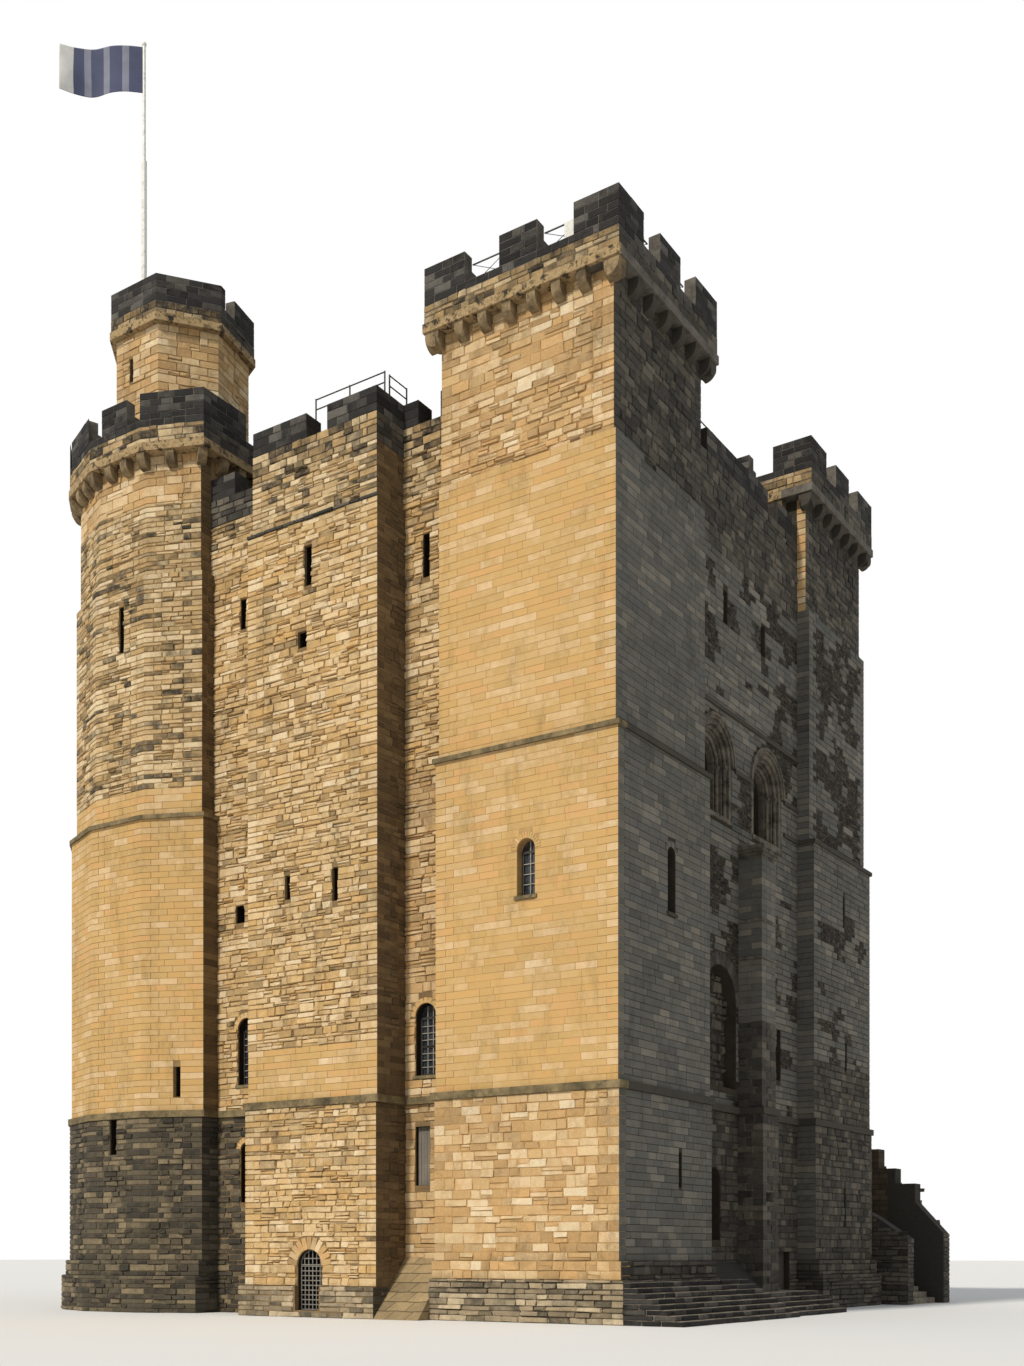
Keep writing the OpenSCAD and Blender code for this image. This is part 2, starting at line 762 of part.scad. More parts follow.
// A great window has three orders, each one narrower and set further back
great_r = great_w / 2;
order_w = 150;
order_step = 170;
great_splay = great_r + 3 * order_w;
frame_depth = 3 * order_step + 10;
great_sill_t = 120;
hood_w = 150;
hood_out = 60;
hood_edge = 30;
// How far a moulding is let into the stone behind it
let_in = 8;

module great_cut(x) {
    h = great_spring_z - great_sill_z;
    cut_y([x, great_sill_z - great_sill_t, 2 * great_splay, h + great_sill_t + great_splay, true],
          wall_south_y - cut, wall_south_y + frame_depth);
    cut_y([x, great_sill_z, 2 * great_r, h + great_r, true], wall_south_y, sw_y + cut);
}

// Half ring in the XZ plane, centred on the origin, running along +Y for d
module half_ring(r1, r0, d) {
    rotate([90, 0, 0]) translate([0, 0, -d]) linear_extrude(height = d) difference() {
        circle(r = r1, $fn = arc_fn);
        circle(r = r0, $fn = arc_fn);
        translate([-r1 - cut, -2 * r1]) square([2 * r1 + 2 * cut, 2 * r1]);
    }
}

// Roll moulding: half a torus over the arch
module roll(r, bead) {
    rotate([90, 0, 0]) rotate_extrude(angle = 180, $fn = arc_fn)
        translate([r, 0]) circle(r = bead, $fn = small_fn);
}

bead_r = 56;

// Shaft with a moulded base and a cushion capital
module nook_shaft(h, r) {
    cap = 260;
    base = 180;
    translate([0, 0, base]) cylinder(h = h - cap - base, r = r, $fn = small_fn);
    cylinder(h = 90, r = r * 1.45, $fn = small_fn);
    translate([0, 0, 90]) cylinder(h = 90, r = r * 1.22, $fn = small_fn);
    translate([0, 0, h - cap]) cylinder(h = 50, r = r * 1.2, $fn = small_fn);
    translate([0, 0, h - cap]) cylinder(h = 110, r = r * 1.1, $fn = small_fn);
    translate([0, 0, h - cap + 110]) cylinder(h = 70, r = r * 1.3, $fn = small_fn);
    translate([-r * 1.5, -r * 1.5, h - 90]) cube([r * 3, r * 3, 90]);
}

// Recessed round-arched window of three orders: outer jambs, two shafted orders, inner plate and a hood
module great_window(x) {
    h = great_spring_z - great_sill_z;
    translate([x, wall_south_y, great_sill_z]) {
        for (k = [0 : 2]) {
            r1 = great_splay - k * order_w;
            depth = k * order_step;
            // Jambs and ring of this order
            for (side = [-1, 1]) {
                translate([side > 0 ? r1 - order_w : -r1, depth, 0]) cube([order_w, frame_depth - depth, h]);
            }
            translate([0, depth, h]) half_ring(r1, r1 - order_w, frame_depth - depth);
            if (k < 2) {
                shaft_x = r1 - order_w - bead_r + let_in;
                shaft_y = depth + order_step - bead_r + let_in;
                for (side = [-1, 1]) {
                    translate([side * shaft_x, shaft_y, 0]) nook_shaft(h, bead_r);
                }
                translate([0, shaft_y, h]) roll(shaft_x, bead_r);
            }
        }
        // Hood mould on the wall face, with a raised outer edge
        translate([0, -hood_out, h]) half_ring(great_splay + hood_w, great_splay - 2 * let_in, hood_out);
        translate([0, -hood_out - hood_edge, h])
            half_ring(great_splay + hood_w, great_splay + hood_w / 2, hood_edge + let_in);
        // Sill under all the orders
        translate([-great_splay, -60, -great_sill_t])
            cube([2 * great_splay, 60 + frame_depth, great_sill_t]);
    }
}

module great_window_west() {
    color(stone_grey) great_window(great_west_x);
}

module great_window_east() {
    color(stone_grey) great_window(great_east_x);
}

pilaster_x = -580;
pilaster_top_z = 12950;

// Pilaster under the eastern great window, with a moulded cap and two bands
module south_pilaster() {
    x0 = pilaster_x;
    x1 = pilaster_x + pilaster_w;
    y0 = wall_south_y - pilaster_out;
    bands = [9950, 11000];
    color(stone_grey) difference() {
        union() {
            span([x0, y0, 0], [x1, wall_south_y, pilaster_top_z]);
            span([x0 - 60, y0 - 60, 0], [x1 + 60, wall_south_y, string_low_z - 60]);
            for (z = bands) span([x0 - 30, y0 - 30, z], [x1 + 30, wall_south_y, z + 90]);
            for (k = [0 : 3]) {
                span([x0 - 40 * k, y0 - 40 * k, pilaster_top_z + 90 * (k - 2)],
                     [x1 + 40 * k, wall_south_y, pilaster_top_z + 90 * (k - 1)]);
            }
        }
        span([x0 + 150, y0 - 2 * cut, 3150], [x1 - 250, y0 + 300, 3420]);
    }
}

// Hall windows and high slits of the unseen sides, as [underside, width, height] and [underside, height]
hall_window = [12500, 700, 2200];
high_slit = [19380, 1000];
east_window_y = 2600;

module east_wall() {
    w = hall_window;
    color(stone_plain) difference() {
        span([se_x, se_y, 0], [wall_east_x, ne_y, roof_z]);
        cut_x([east_door_y, landing_z, east_door_w, east_door_h, true], se_x - cut, wall_east_x + cut);
        for (y = [-east_window_y, east_window_y]) {
            for (o = [[y, w[0], w[1], w[2], true], [y, high_slit[0], slit_w, high_slit[1], false]]) {
                cut_x(o, wall_east_x - reveal, wall_east_x + cut);
                cut_x(widened(o), se_x - cut, wall_east_x - reveal + 1);
            }
        }
    }
}

module north_wall() {
    mid = round((nw_end_x + se_x) / 20) * 10;
    high = hall_window;
    color(stone_plain) difference() {
        span([nw_end_x, ne_inner_y, 0], [se_x, wall_north_y, roof_z]);
        for (o = [[mid, 6400, 660, 1900, true],
                  [mid, high[0], high[1], high[2], true],
                  [mid, high_slit[0], slit_w, high_slit[1], false],
                  [mid, 2800, slit_w, high_slit[1], false]]) {
            cut_y(o, wall_north_y - reveal, wall_north_y + cut);
            cut_y(widened(o), ne_inner_y - cut, wall_north_y - reveal + 1);
        }
    }
}

// Thickness of the north wall between the turrets
north_wall_t = 4650;
ne_inner_y = wall_north_y - north_wall_t;

// Parapets of the main walls: each crenel is given by its start along the wall
wall_parapet_t = 600;
crenel_w = 720;
crenel_z = parapet_top_z - 650;

module west_parapet() {
    t = wall_parapet_t;
    bx = buttress_x + 60;
    color(stone_dark) difference() {
        union() {
            span([wall_west_x, sw_y, roof_z], [wall_west_x + t, -buttress_s + 60, parapet_top_z]);
            span([wall_west_x, buttress_n - 120, roof_z], [wall_west_x + t, nw_start_y, parapet_top_z]);
            span([bx, -buttress_s + 60, roof_z], [bx + t, buttress_n - 120, parapet_top_z]);
            span([bx + t, -buttress_s + 60, roof_z], [wall_west_x + t, -buttress_s + 60 + t, parapet_top_z]);
            span([bx + t, buttress_n - 120 - t, roof_z], [wall_west_x + t, buttress_n - 120, parapet_top_z]);
        }
        for (y = [-4200, -1330, 2350]) {
            span([bx - cut, y, crenel_z], [wall_west_x + t + cut, y + crenel_w, parapet_top_z + cut]);
        }
    }
}

module south_parapet() {
    t = wall_parapet_t;
    color(stone_dark) difference() {
        span([sw_x, wall_south_y, roof_z], [se_x, wall_south_y + t, parapet_top_z]);
        for (x = [-3300, 1500]) {
            span([x, wall_south_y - cut, crenel_z],
                 [x + crenel_w, wall_south_y + t + cut, parapet_top_z + cut]);
        }
    }
}

module east_parapet() {
    t = wall_parapet_t;
    color(stone_dark) difference() {
        span([wall_east_x - t, se_y, roof_z], [wall_east_x, ne_y, parapet_top_z]);
        for (y = [-3200, -360, 2480]) {
            span([wall_east_x - t - cut, y, crenel_z],
                 [wall_east_x + cut, y + crenel_w, parapet_top_z + cut]);
        }
    }
}

module north_parapet() {
    t = wall_parapet_t;
    color(stone_dark) difference() {
        span([nw_end_x, wall_north_y - t, roof_z], [se_x, wall_north_y, parapet_top_z]);
        for (x = [-1000, 1600]) {
            span([x, wall_north_y - t - cut, crenel_z],
                 [x + crenel_w, wall_north_y + cut, parapet_top_z + cut]);
        }
    }
}

// Plan of the keep between the strings, grown by g
module keep_plan(g) {
    grown(west_x, south_y, sw_x, sw_y, g);
    grown(se_x, south_y, east_x, se_y, g);
    grown(se_x, ne_y, east_x, north_y, g);
    nw_plan(g);
    grown(wall_west_x, wall_south_y, wall_east_x, wall_north_y, g);
    grown(buttress_x, -buttress_s, wall_west_x, buttress_n, g);
}

// Plan of the four turrets only
module turret_plan(g) {
    grown(west_x, south_y, sw_x, sw_y, g);
    grown(se_x, south_y, east_x, se_y, g);
    grown(se_x, ne_y, east_x, north_y, g);
    nw_plan(g);
}

low_roll_h = 190;
low_roll_out = 120;
high_roll_h = 120;
high_roll_out = 80;
over_z = great_spring_z + great_splay + hood_w + 200;

module string_courses() {
    pil = [pilaster_x, wall_south_y - pilaster_out, pilaster_x + pilaster_w, wall_south_y];
    color(stone_dark) {
        translate([0, 0, string_low_z]) linear_extrude(height = low_roll_h) difference() {
            union() {
                keep_plan(low_roll_out);
                grown(pil[0], pil[1], pil[2], pil[3], low_roll_out);
            }
            keep_plan(0);
            grown(pil[0], pil[1], pil[2], pil[3]);
            grown(wall_east_x - cut, east_door_y - door_frame_w / 2,
                  east_x + cut, east_door_y + door_frame_w / 2);
        }
        translate([0, 0, string_high_z - high_roll_h]) linear_extrude(height = high_roll_h) difference() {
            turret_plan(high_roll_out);
            keep_plan(0);
        }
        // Short lengths beside the great windows, and the course above them
        hood = great_splay + hood_w;
        span([great_east_x + hood, wall_south_y - high_roll_out, string_high_z - high_roll_h],
             [se_x - high_roll_out, wall_south_y, string_high_z]);
        span([great_east_x + hood, wall_south_y - high_roll_out, great_spring_z - high_roll_h],
             [se_x, wall_south_y, great_spring_z]);
        span([great_west_x + hood, wall_south_y - high_roll_out, great_spring_z - high_roll_h],
             [great_east_x - hood, wall_south_y, great_spring_z]);
        span([sw_x, wall_south_y - high_roll_out, over_z], [se_x, wall_south_y, over_z + high_roll_h]);
    }
}

// Layers of the stepped plinth: the west length under the turret and the east length under the pilaster
west_layers = 8;
east_layers = 5;
west_layers_end = -2200;
east_layers_x = [-1900, 1800];

// Stepped plinth along the south side
module south_steps() {
    y = south_y - foot_out;
    color(stone_grey) {
        for (k = [0 : west_layers - 1]) {
            span([west_x - foot_out, y - (west_layers - k) * step_t, k * step_h],
                 [west_layers_end + (west_layers - 1 - k) * 35, y, (k + 1) * step_h]);
        }
        for (k = [0 : east_layers - 1]) {
            span([east_layers_x[0], y - (east_layers + 2 - k) * step_t, k * step_h],
                 [east_layers_x[1] + (east_layers - 1 - k) * 45, y, (k + 1) * step_h]);
        }
        span([pilaster_x + pilaster_w + 60, y, 0], [east_layers_x[1], wall_south_y, east_layers * step_h]);
    }
}

// Sloping aprons at the foot of the recesses
module foot_slopes() {
    reach = 1400;
    rise = 1600;
    color(stone_plain) translate([0, -buttress_s, 0]) rotate([90, 0, 0])
        linear_extrude(height = -buttress_s - sw_y)
            polygon([[wall_west_x, 0], [wall_west_x, rise], [wall_west_x - reach, 0]]);
    front = end_recess + foot_out;
    color(stone_dark) translate([sw_x, 0, 0]) rotate([90, 0, 90])
        linear_extrude(height = pilaster_x - 60 - sw_x)
            polygon([
                [wall_south_y, 0], [wall_south_y, 1500],
                [wall_south_y - front, 640], [wall_south_y - front, 0]
            ]);
}

// Forebuilding stair along the east side
stair_x0 = east_x + foot_out + 300;
stair_foot_y = -10900;
risers = 29;
landing_z = risers * riser;
stair_top_y = stair_foot_y + (risers - 1) * tread;
landing_l = 3600;
east_door_y = stair_top_y + landing_l / 2;
east_door_w = 1300;
east_door_h = 2600;
// Break in the string course at the upper door
door_frame_w = east_door_w + 300;

module stair_flight() {
    x0 = stair_x0 + stair_wall_t;
    color(stone_grey) for (k = [0 : risers - 2]) {
        span([x0, stair_foot_y + k * tread, 0],
             [x0 + stair_w, stair_foot_y + (k + 1) * tread, (k + 1) * riser]);
    }
}

module stair_landing() {
    color(stone_grey) span([wall_east_x, stair_top_y, 0],
                           [stair_x0 + stair_wall_t + stair_w, stair_top_y + landing_l, landing_z]);
}

module stair_inner_wall() {
    color(stone_plain) translate([stair_x0, 0, 0]) rotate([90, 0, 90]) linear_extrude(height = stair_wall_t)
        polygon([
            [stair_foot_y, 0], [stair_foot_y, 2200], [stair_foot_y + 1100, 2950],
            [stair_top_y, landing_z + 1000], [stair_top_y, 0]
        ]);
}

module stair_outer_wall() {
    x0 = stair_x0 + stair_wall_t + stair_w;
    end_y = stair_top_y + landing_l;
    color(stone_dark) {
        translate([x0, 0, 0]) rotate([90, 0, 90]) linear_extrude(height = stair_wall_t) polygon([
            [stair_foot_y - 300, 0], [stair_foot_y - 300, 2400],
            [stair_foot_y + 700, 3500], [stair_foot_y + 700, 4150],
            [stair_foot_y + 1400, 4150], [stair_foot_y + 1400, 4700], [stair_foot_y + 2000, 4700],
            [stair_foot_y + 2000, 5400], [stair_foot_y + 4500, 5400], [stair_top_y, landing_z + 1100],
            [end_y, landing_z + 1100], [end_y, 0]
        ]);
        difference() {
            span([wall_east_x, end_y, 0], [x0 + stair_wall_t, end_y + stair_wall_t, landing_z + 1100]);
            span([wall_east_x - cut, end_y - cut, string_low_z],
                 [wall_east_x + low_roll_out, end_y + stair_wall_t + cut, string_low_z + low_roll_h]);
        }
    }
}

// Plank door at the head of the stair, fixed shut behind its arch
module upper_door() {
    o = [east_door_y, landing_z, east_door_w, east_door_h, true];
    color(timber) cut_x(o, wall_east_x - 460, wall_east_x - 400);
}

// Floors of the hall well
module hall_plate(z, t) {
    translate([0, 0, z - t]) linear_extrude(height = t) {
        grown(sw_x, sw_y, se_x, nw_start_y);
        grown(nw_end_x, nw_start_y, se_x, ne_inner_y);
    }
}

module ground_floor() {
    color(stone_grey) hall_plate(ground_t, ground_t);
}

module first_floor() {
    color(timber) hall_plate(first_z, floor_t);
}

module hall_floor() {
    color(timber) hall_plate(hall_z, floor_t);
}

module upper_floor() {
    color(timber) hall_plate(upper_z, floor_t);
}

module roof_deck() {
    color(stone_grey) hall_plate(roof_z, deck_t);
}

// Roofs of the turrets, inside their parapets
module turret_roofs() {
    t = 120;
    color(stone_grey) {
        for (q = [
            [top_rect(sw_c, sw_i), sw_lip_z],
            [top_rect(se_c, se_i), turret_lip_z],
            [top_rect(ne_c, ne_i), turret_lip_z]
        ]) {
            r = q[0];
            translate([0, 0, q[1]]) linear_extrude(height = t)
                grown(r[0], r[1], r[2], r[3], corbel_out - parapet_t);
        }
        translate([0, 0, turret_lip_z]) linear_extrude(height = turret_floor_z - turret_lip_z)
            polygon(moved(nw_outline, corbel_out - nw_top_in - parapet_t));
        translate([0, 0, flag_lip_z]) linear_extrude(height = 60)
            polygon(moved(flag_outline(flag_turret_r + flag_parapet_out), -flag_parapet_t));
    }
}

// Thin panes, set back in the reveals
glass_in = 260;
great_glass_in = 1200;

module window_glass() {
    color([0.30, 0.34, 0.38, 0.6]) {
        cut_x(ab_window, wall_west_x + glass_in, wall_west_x + glass_in + glass_t);
        cut_x(nb_window, wall_west_x + glass_in, wall_west_x + glass_in + glass_t);
        cut_x(sw_west_window, west_x + glass_in, west_x + glass_in + glass_t);
        cut_y(sw_south_window, south_y + glass_in, south_y + glass_in + glass_t);
        for (x = [great_west_x, great_east_x]) {
            cut_y([x, great_sill_z, great_w, great_spring_z - great_sill_z + great_r, true],
                  wall_south_y + great_glass_in, wall_south_y + great_glass_in + glass_t);
        }
    }
}

module boarded_window() {
    color(timber) cut_x(boarded, wall_west_x + 150, wall_west_x + 190);
}

// Plank leaf of the low south door: it swings inwards on its west edge
module south_door() {
    w = door_w + 2 * (door_rebate - door_gap);
    color(timber) {
        span([door_mid - w / 2, door_axis_y - door_t, door_sill_z + leaf_gap],
             [door_mid + w / 2, door_axis_y, door_sill_z + door_h + door_rebate / 2]);
        for (z = door_hinge_z) translate([door_axis_x, door_axis_y, z]) knuckle(door_hinge_r, door_gap / 2);
    }
}

// Railings on the roof walks
rail_r = 22;
rail_h = 650;

// A straight railing on posts from point a to point b
module railing(a, b, posts) {
    d = b - a;
    l = norm(d);
    dir = atan2(d[1], d[0]);
    translate(a) rotate([0, 0, dir]) {
        for (k = [0 : posts - 1]) {
            translate([k * l / (posts - 1), 0, 0]) cylinder(h = rail_h, r = rail_r, $fn = 12);
        }
        for (z = [rail_h * 0.55, rail_h - rail_r]) {
            translate([0, 0, z]) rotate([0, 90, 0]) cylinder(h = l, r = rail_r * 0.8, $fn = 12);
        }
    }
}

module roof_railings() {
    inner_w = buttress_x + 60 + wall_parapet_t - 80;
    wall_w = wall_west_x + wall_parapet_t - 80;
    color(iron) {
        railing([inner_w, -500, parapet_top_z], [inner_w, -buttress_s + 200, parapet_top_z], 3);
        railing([inner_w + 200, -buttress_s + 200, parapet_top_z],
                [wall_w - 200, -buttress_s + 200, parapet_top_z], 2);
        railing([sw_x + 1100, wall_south_y + wall_parapet_t - 80, parapet_top_z],
                [1400, wall_south_y + wall_parapet_t - 80, parapet_top_z], 4);
    }
}

pole_x = -6900;
pole_y = 7850;
pole_step_z = 35500;
pole_thin_r = pole_r * 0.6;
ball_r = 75;

module flagpole() {
    color("white") translate([pole_x, pole_y, 0]) {
        translate([0, 0, flag_lip_z + 60])
            cylinder(h = pole_step_z - flag_lip_z - 60, r = pole_r, $fn = small_fn);
        translate([0, 0, pole_step_z])
            cylinder(h = pole_top_z - ball_r - pole_step_z, r = pole_thin_r, $fn = small_fn);
        translate([0, 0, pole_top_z - ball_r]) sphere(r = ball_r, $fn = small_fn);
    }
}

// Flag: a thin waved sheet, plain in plan
flag_dir = 123.3;
function flag_wave(s) = 130 * sin(s * 430) * (0.3 + s);

module flag() {
    n = 16;
    t = 16;
    start = pole_thin_r + 0.3;
    front = [for (k = [0 : n]) [start + flag_l * k / n, flag_wave(k / n) - t / 2]];
    back = [for (k = [n : -1 : 0]) [start + flag_l * k / n, flag_wave(k / n) + t / 2]];
    color([0.25, 0.28, 0.38]) translate([pole_x, pole_y, pole_top_z - 2 * ball_r - flag_h]) rotate(flag_dir)
        linear_extrude(height = flag_h) polygon(concat(front, back));
}

sw_turret();
sw_corbels();
sw_parapet();
se_turret();
se_corbels();
se_parapet();
ne_turret();
ne_corbels();
ne_parapet();
nw_turret();
nw_corbels();
nw_parapet();
flag_turret();
flag_turret_parapet();
west_wall();
west_buttress();
buttress_base();
south_wall();
east_wall();
north_wall();
west_parapet();
south_parapet();
east_parapet();
north_parapet();
string_courses();
south_pilaster();
great_window_west();
great_window_east();
south_steps();
foot_slopes();
stair_flight();
stair_landing();
stair_inner_wall();
stair_outer_wall();
ground_floor();
first_floor();
hall_floor();
upper_floor();
roof_deck();
turret_roofs();
window_glass();
boarded_window();
upper_door();
gate_head();
grille_gate();
south_door();
hinge_pintles();
roof_railings();
flagpole();
flag();
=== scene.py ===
import math
import random
from collections import namedtuple

import bpy
import numpy as np
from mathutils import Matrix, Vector, noise


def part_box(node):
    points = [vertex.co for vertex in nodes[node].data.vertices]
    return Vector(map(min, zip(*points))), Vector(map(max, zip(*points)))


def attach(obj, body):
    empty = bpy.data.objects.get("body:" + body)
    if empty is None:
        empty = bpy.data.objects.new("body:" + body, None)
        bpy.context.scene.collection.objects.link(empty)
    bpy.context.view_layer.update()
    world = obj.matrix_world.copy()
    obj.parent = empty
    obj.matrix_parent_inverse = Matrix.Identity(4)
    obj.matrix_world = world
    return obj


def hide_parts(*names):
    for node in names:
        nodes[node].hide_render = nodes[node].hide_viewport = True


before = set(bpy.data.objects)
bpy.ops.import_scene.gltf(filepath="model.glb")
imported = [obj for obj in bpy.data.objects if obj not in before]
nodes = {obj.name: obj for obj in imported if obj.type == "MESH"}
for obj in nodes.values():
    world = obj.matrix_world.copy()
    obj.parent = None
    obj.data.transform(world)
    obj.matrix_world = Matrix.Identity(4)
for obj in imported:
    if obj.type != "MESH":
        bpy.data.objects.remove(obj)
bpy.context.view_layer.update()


# Main lines of the keep, in metres, read from the frame

def low(node, axis):
    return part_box(node)[0][axis]


def high(node, axis):
    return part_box(node)[1][axis]


X, Y, Z = 0, 1, 2
PLINTH_OUT = 0.29
MIDDLE_OUT = 0.17
LOWER_OUT = 0.05
STAGE_IN = 0.15
TOP_IN = 0.27

WEST = low("sw_turret", X) + PLINTH_OUT
SOUTH = low("sw_turret", Y) + PLINTH_OUT
EAST = high("se_turret", X) - PLINTH_OUT
NORTH = high("ne_turret", Y) - PLINTH_OUT
SW_X = high("sw_turret", X)
SW_Y = high("sw_turret", Y)
SE_X = low("se_turret", X)
SE_Y = high("se_turret", Y)
NE_Y = low("ne_turret", Y)
WALL_W = low("west_wall", X)
WALL_S = low("south_wall", Y)
WALL_E = high("east_wall", X)
WALL_N = high("north_wall", Y)
NW_Y = low("nw_turret", Y)
NW_X = high("nw_turret", X)
BUTT_X = low("west_buttress", X) + LOWER_OUT
BUTT_S = low("west_buttress", Y)
BUTT_N = high("west_buttress", Y) - LOWER_OUT
SW_LIP = high("sw_turret", Z)
LIP = high("se_turret", Z)
FLAG_LIP = high("flag_turret", Z)
ROOF = high("west_wall", Z)
PARAPET_TOP = high("west_parapet", Z)

PLINTH_Z = 1.50
PLINTH_STEP_Z = 1.05
BUTT_PLINTH_Z = 0.825
STRING_Z = 5.60
HIGH_STRING_Z = 14.30
OFFSET_Z = 21.30
CRENEL_Z = PARAPET_TOP - 0.65
CRENEL_W = 0.72

# Buttress: how far its foot stands out, and how far its top stage stands in, on the west and on the north
BUTT_FOOT_OUT, BUTT_FOOT_OUT_N = 0.12, 0.20
BUTT_TOP_IN, BUTT_TOP_IN_N = 0.06, 0.12

# North-west turret: lengths of its sides, and the turn from one to the next
NW_SIDE_A = 1.89
NW_SIDE_B = 2.08
NW_INSET = 0.53
NW_TURN = math.radians(22.5)
NW_BULGE = NW_SIDE_A * math.sin(NW_TURN)
NW_RUN = NW_SIDE_A * math.cos(NW_TURN)


# Plan geometry

def unit(v):
    size = math.hypot(v[0], v[1])
    return (v[0] / size, v[1] / size)


def moved(points, out):
    """A closed clockwise outline, moved outwards: each corner goes out along its bisector."""
    result = []
    count = len(points)
    for k, b in enumerate(points):
        a = points[k - 1]
        c = points[(k + 1) % count]
        u = unit((b[0] - a[0], b[1] - a[1]))
        v = unit((c[0] - b[0], c[1] - b[1]))
        nu = (-u[1], u[0])
        nv = (-v[1], v[0])
        share = 1 + nu[0] * nv[0] + nu[1] * nv[1]
        result.append(tuple(b[axis] + out * (nu[axis] + nv[axis]) / share for axis in (X, Y)))
    return result


NW_OUTLINE = [
    (WEST, NW_Y),
    (WEST - NW_BULGE, NW_Y + NW_RUN),
    (WEST - NW_BULGE, NW_Y + NW_RUN + NW_SIDE_B),
    (WEST, NORTH - NW_INSET),
    (WEST + NW_INSET, NORTH),
    (NW_X - NW_RUN - NW_SIDE_B, NORTH + NW_BULGE),
    (NW_X - NW_RUN, NORTH + NW_BULGE),
    (NW_X, NORTH),
    (NW_X, NW_Y),
]
FLAG_SIDES = 7
FLAG_R = 2.05
FLAG_MID = (-5.84, 7.30)


def flag_outline(r):
    """Outline of the flag turret, clockwise, with one side facing west."""
    corners = []
    for k in range(FLAG_SIDES):
        turn = math.pi + (0.5 - k) * 2 * math.pi / FLAG_SIDES
        corners.append((FLAG_MID[0] + r * math.cos(turn), FLAG_MID[1] + r * math.sin(turn)))
    return corners


def buttress_lines(z):
    """West face, south side and north side of the buttress at a height."""
    if z < BUTT_PLINTH_Z:
        return BUTT_X - LOWER_OUT - BUTT_FOOT_OUT, BUTT_S, BUTT_N + BUTT_FOOT_OUT_N
    if z < STRING_Z:
        return BUTT_X - LOWER_OUT, BUTT_S, BUTT_N + LOWER_OUT
    if z < OFFSET_Z:
        return BUTT_X, BUTT_S, BUTT_N
    return BUTT_X + BUTT_TOP_IN, BUTT_S + BUTT_TOP_IN, BUTT_N - BUTT_TOP_IN_N


def at_level(a, b, axis, value):
    """Point of the line through a and b where one coordinate has a value."""
    share = (value - a[axis]) / (b[axis] - a[axis])
    return a[0] + share * (b[0] - a[0]), a[1] + share * (b[1] - a[1])


def keep_outline(g, z):
    """Counter-clockwise corners of the keep at a height, each with the name of the side that starts there.

    g is how far the stage stands out of the middle one."""
    inward = min(g, 0)
    nw = moved(NW_OUTLINE, g)
    bx, bs, bn = buttress_lines(z)
    corners = [
        ("sw_south", (WEST - g, SOUTH - g)),
        ("sw_return", (SW_X, SOUTH - g)),
        ("south", (SW_X, WALL_S)),
        ("se_return", (SE_X, WALL_S)),
        ("se_south", (SE_X, SOUTH - g)),
        ("se_east", (EAST + g, SOUTH - g)),
        ("se_back", (EAST + g, SE_Y)),
        ("east", (WALL_E, SE_Y)),
        ("ne_back", (WALL_E, NE_Y)),
        ("ne_east", (EAST + g, NE_Y)),
        ("ne_north", (EAST + g, NORTH + g)),
        ("ne_return", (SE_X, NORTH + g)),
        ("north", (SE_X, WALL_N)),
        ("nw_return", (NW_X + inward, WALL_N)),
    ]
    for k in range(7, 0, -1):
        corner = at_level(nw[6], nw[7], X, NW_X) if k == 7 and g > 0 else nw[k]
        corners.append((f"nw_{k}", corner))
    start = nw[0] if g <= 0 else at_level(nw[0], nw[1], Y, NW_Y)
    corners += [
        ("nw_back", start),
        ("nb", (WALL_W, NW_Y - inward)),
        ("butt_north", (WALL_W, bn)),
        ("butt_west", (bx, bn)),
        ("butt_south", (bx, bs)),
        ("ab", (WALL_W, bs)),
        ("sw_back", (WALL_W, SW_Y)),
        ("sw_west", (WEST - g, SW_Y)),
    ]
    return corners


# Openings through the faces: (middle along the wall, underside, width, height, round head)
AB_WINDOW = (-3.72, 6.35, 0.66, 1.89, True)
NB_WINDOW = (2.64, 6.50, 0.62, 1.90, True)
NB_LOW_WINDOW = (2.64, 3.15, 0.42, 1.70, True)
BOARDED = (-3.62, 3.47, 0.48, 1.55, False)
SW_WEST_WINDOW = (-7.22, 10.48, 0.52, 1.40, True)
SW_SOUTH_WINDOW = (-5.75, 10.25, 0.42, 1.65, True)
SLIT_W = 0.22
GATE_MID, GATE_SILL_Z, GATE_W, GATE_SPRING_H = -0.82, 0.18, 0.83, 1.20
GATE = (GATE_MID, GATE_SILL_Z, GATE_W, GATE_SPRING_H + GATE_W / 2, True)
SOUTH_DOOR = (2.66, 0.10, 0.84, 1.64, False)
# How far the stones keep back from an opening with a swinging leaf
LEAF_ROOM = {GATE: 0.045, SOUTH_DOOR: 0.02}
HOOD_W = 0.15
HOOD_R = (high("great_window_west", X) - low("great_window_west", X)) / 2
GREAT_SPRING_Z = high("great_window_west", Z) - HOOD_R
GREAT_FOOT_Z = low("great_window_west", Z)
PILASTER = (-0.12, 0.0, 0.92, 12.95, False)
RUIN_ARCH = (-1.75, 6.30, 2.05, 3.35, True)
NORTH_MID = round((NW_X + SE_X) / 0.02) * 0.01
NW_MID_SIDE_Y = NW_Y + NW_SIDE_A

TURRET_SLITS = [
    (6.16, 12.05, 0.19, 0.98, False), (6.35, 7.52, 0.19, 0.88, False), (6.13, 2.54, 0.17, 1.23, False),
]


def hall_openings(mid):
    """Hall window and upper slit of an unseen front."""
    return [(mid, 12.50, 0.70, 2.20, True), (mid, 19.38, SLIT_W, 1.00, False)]


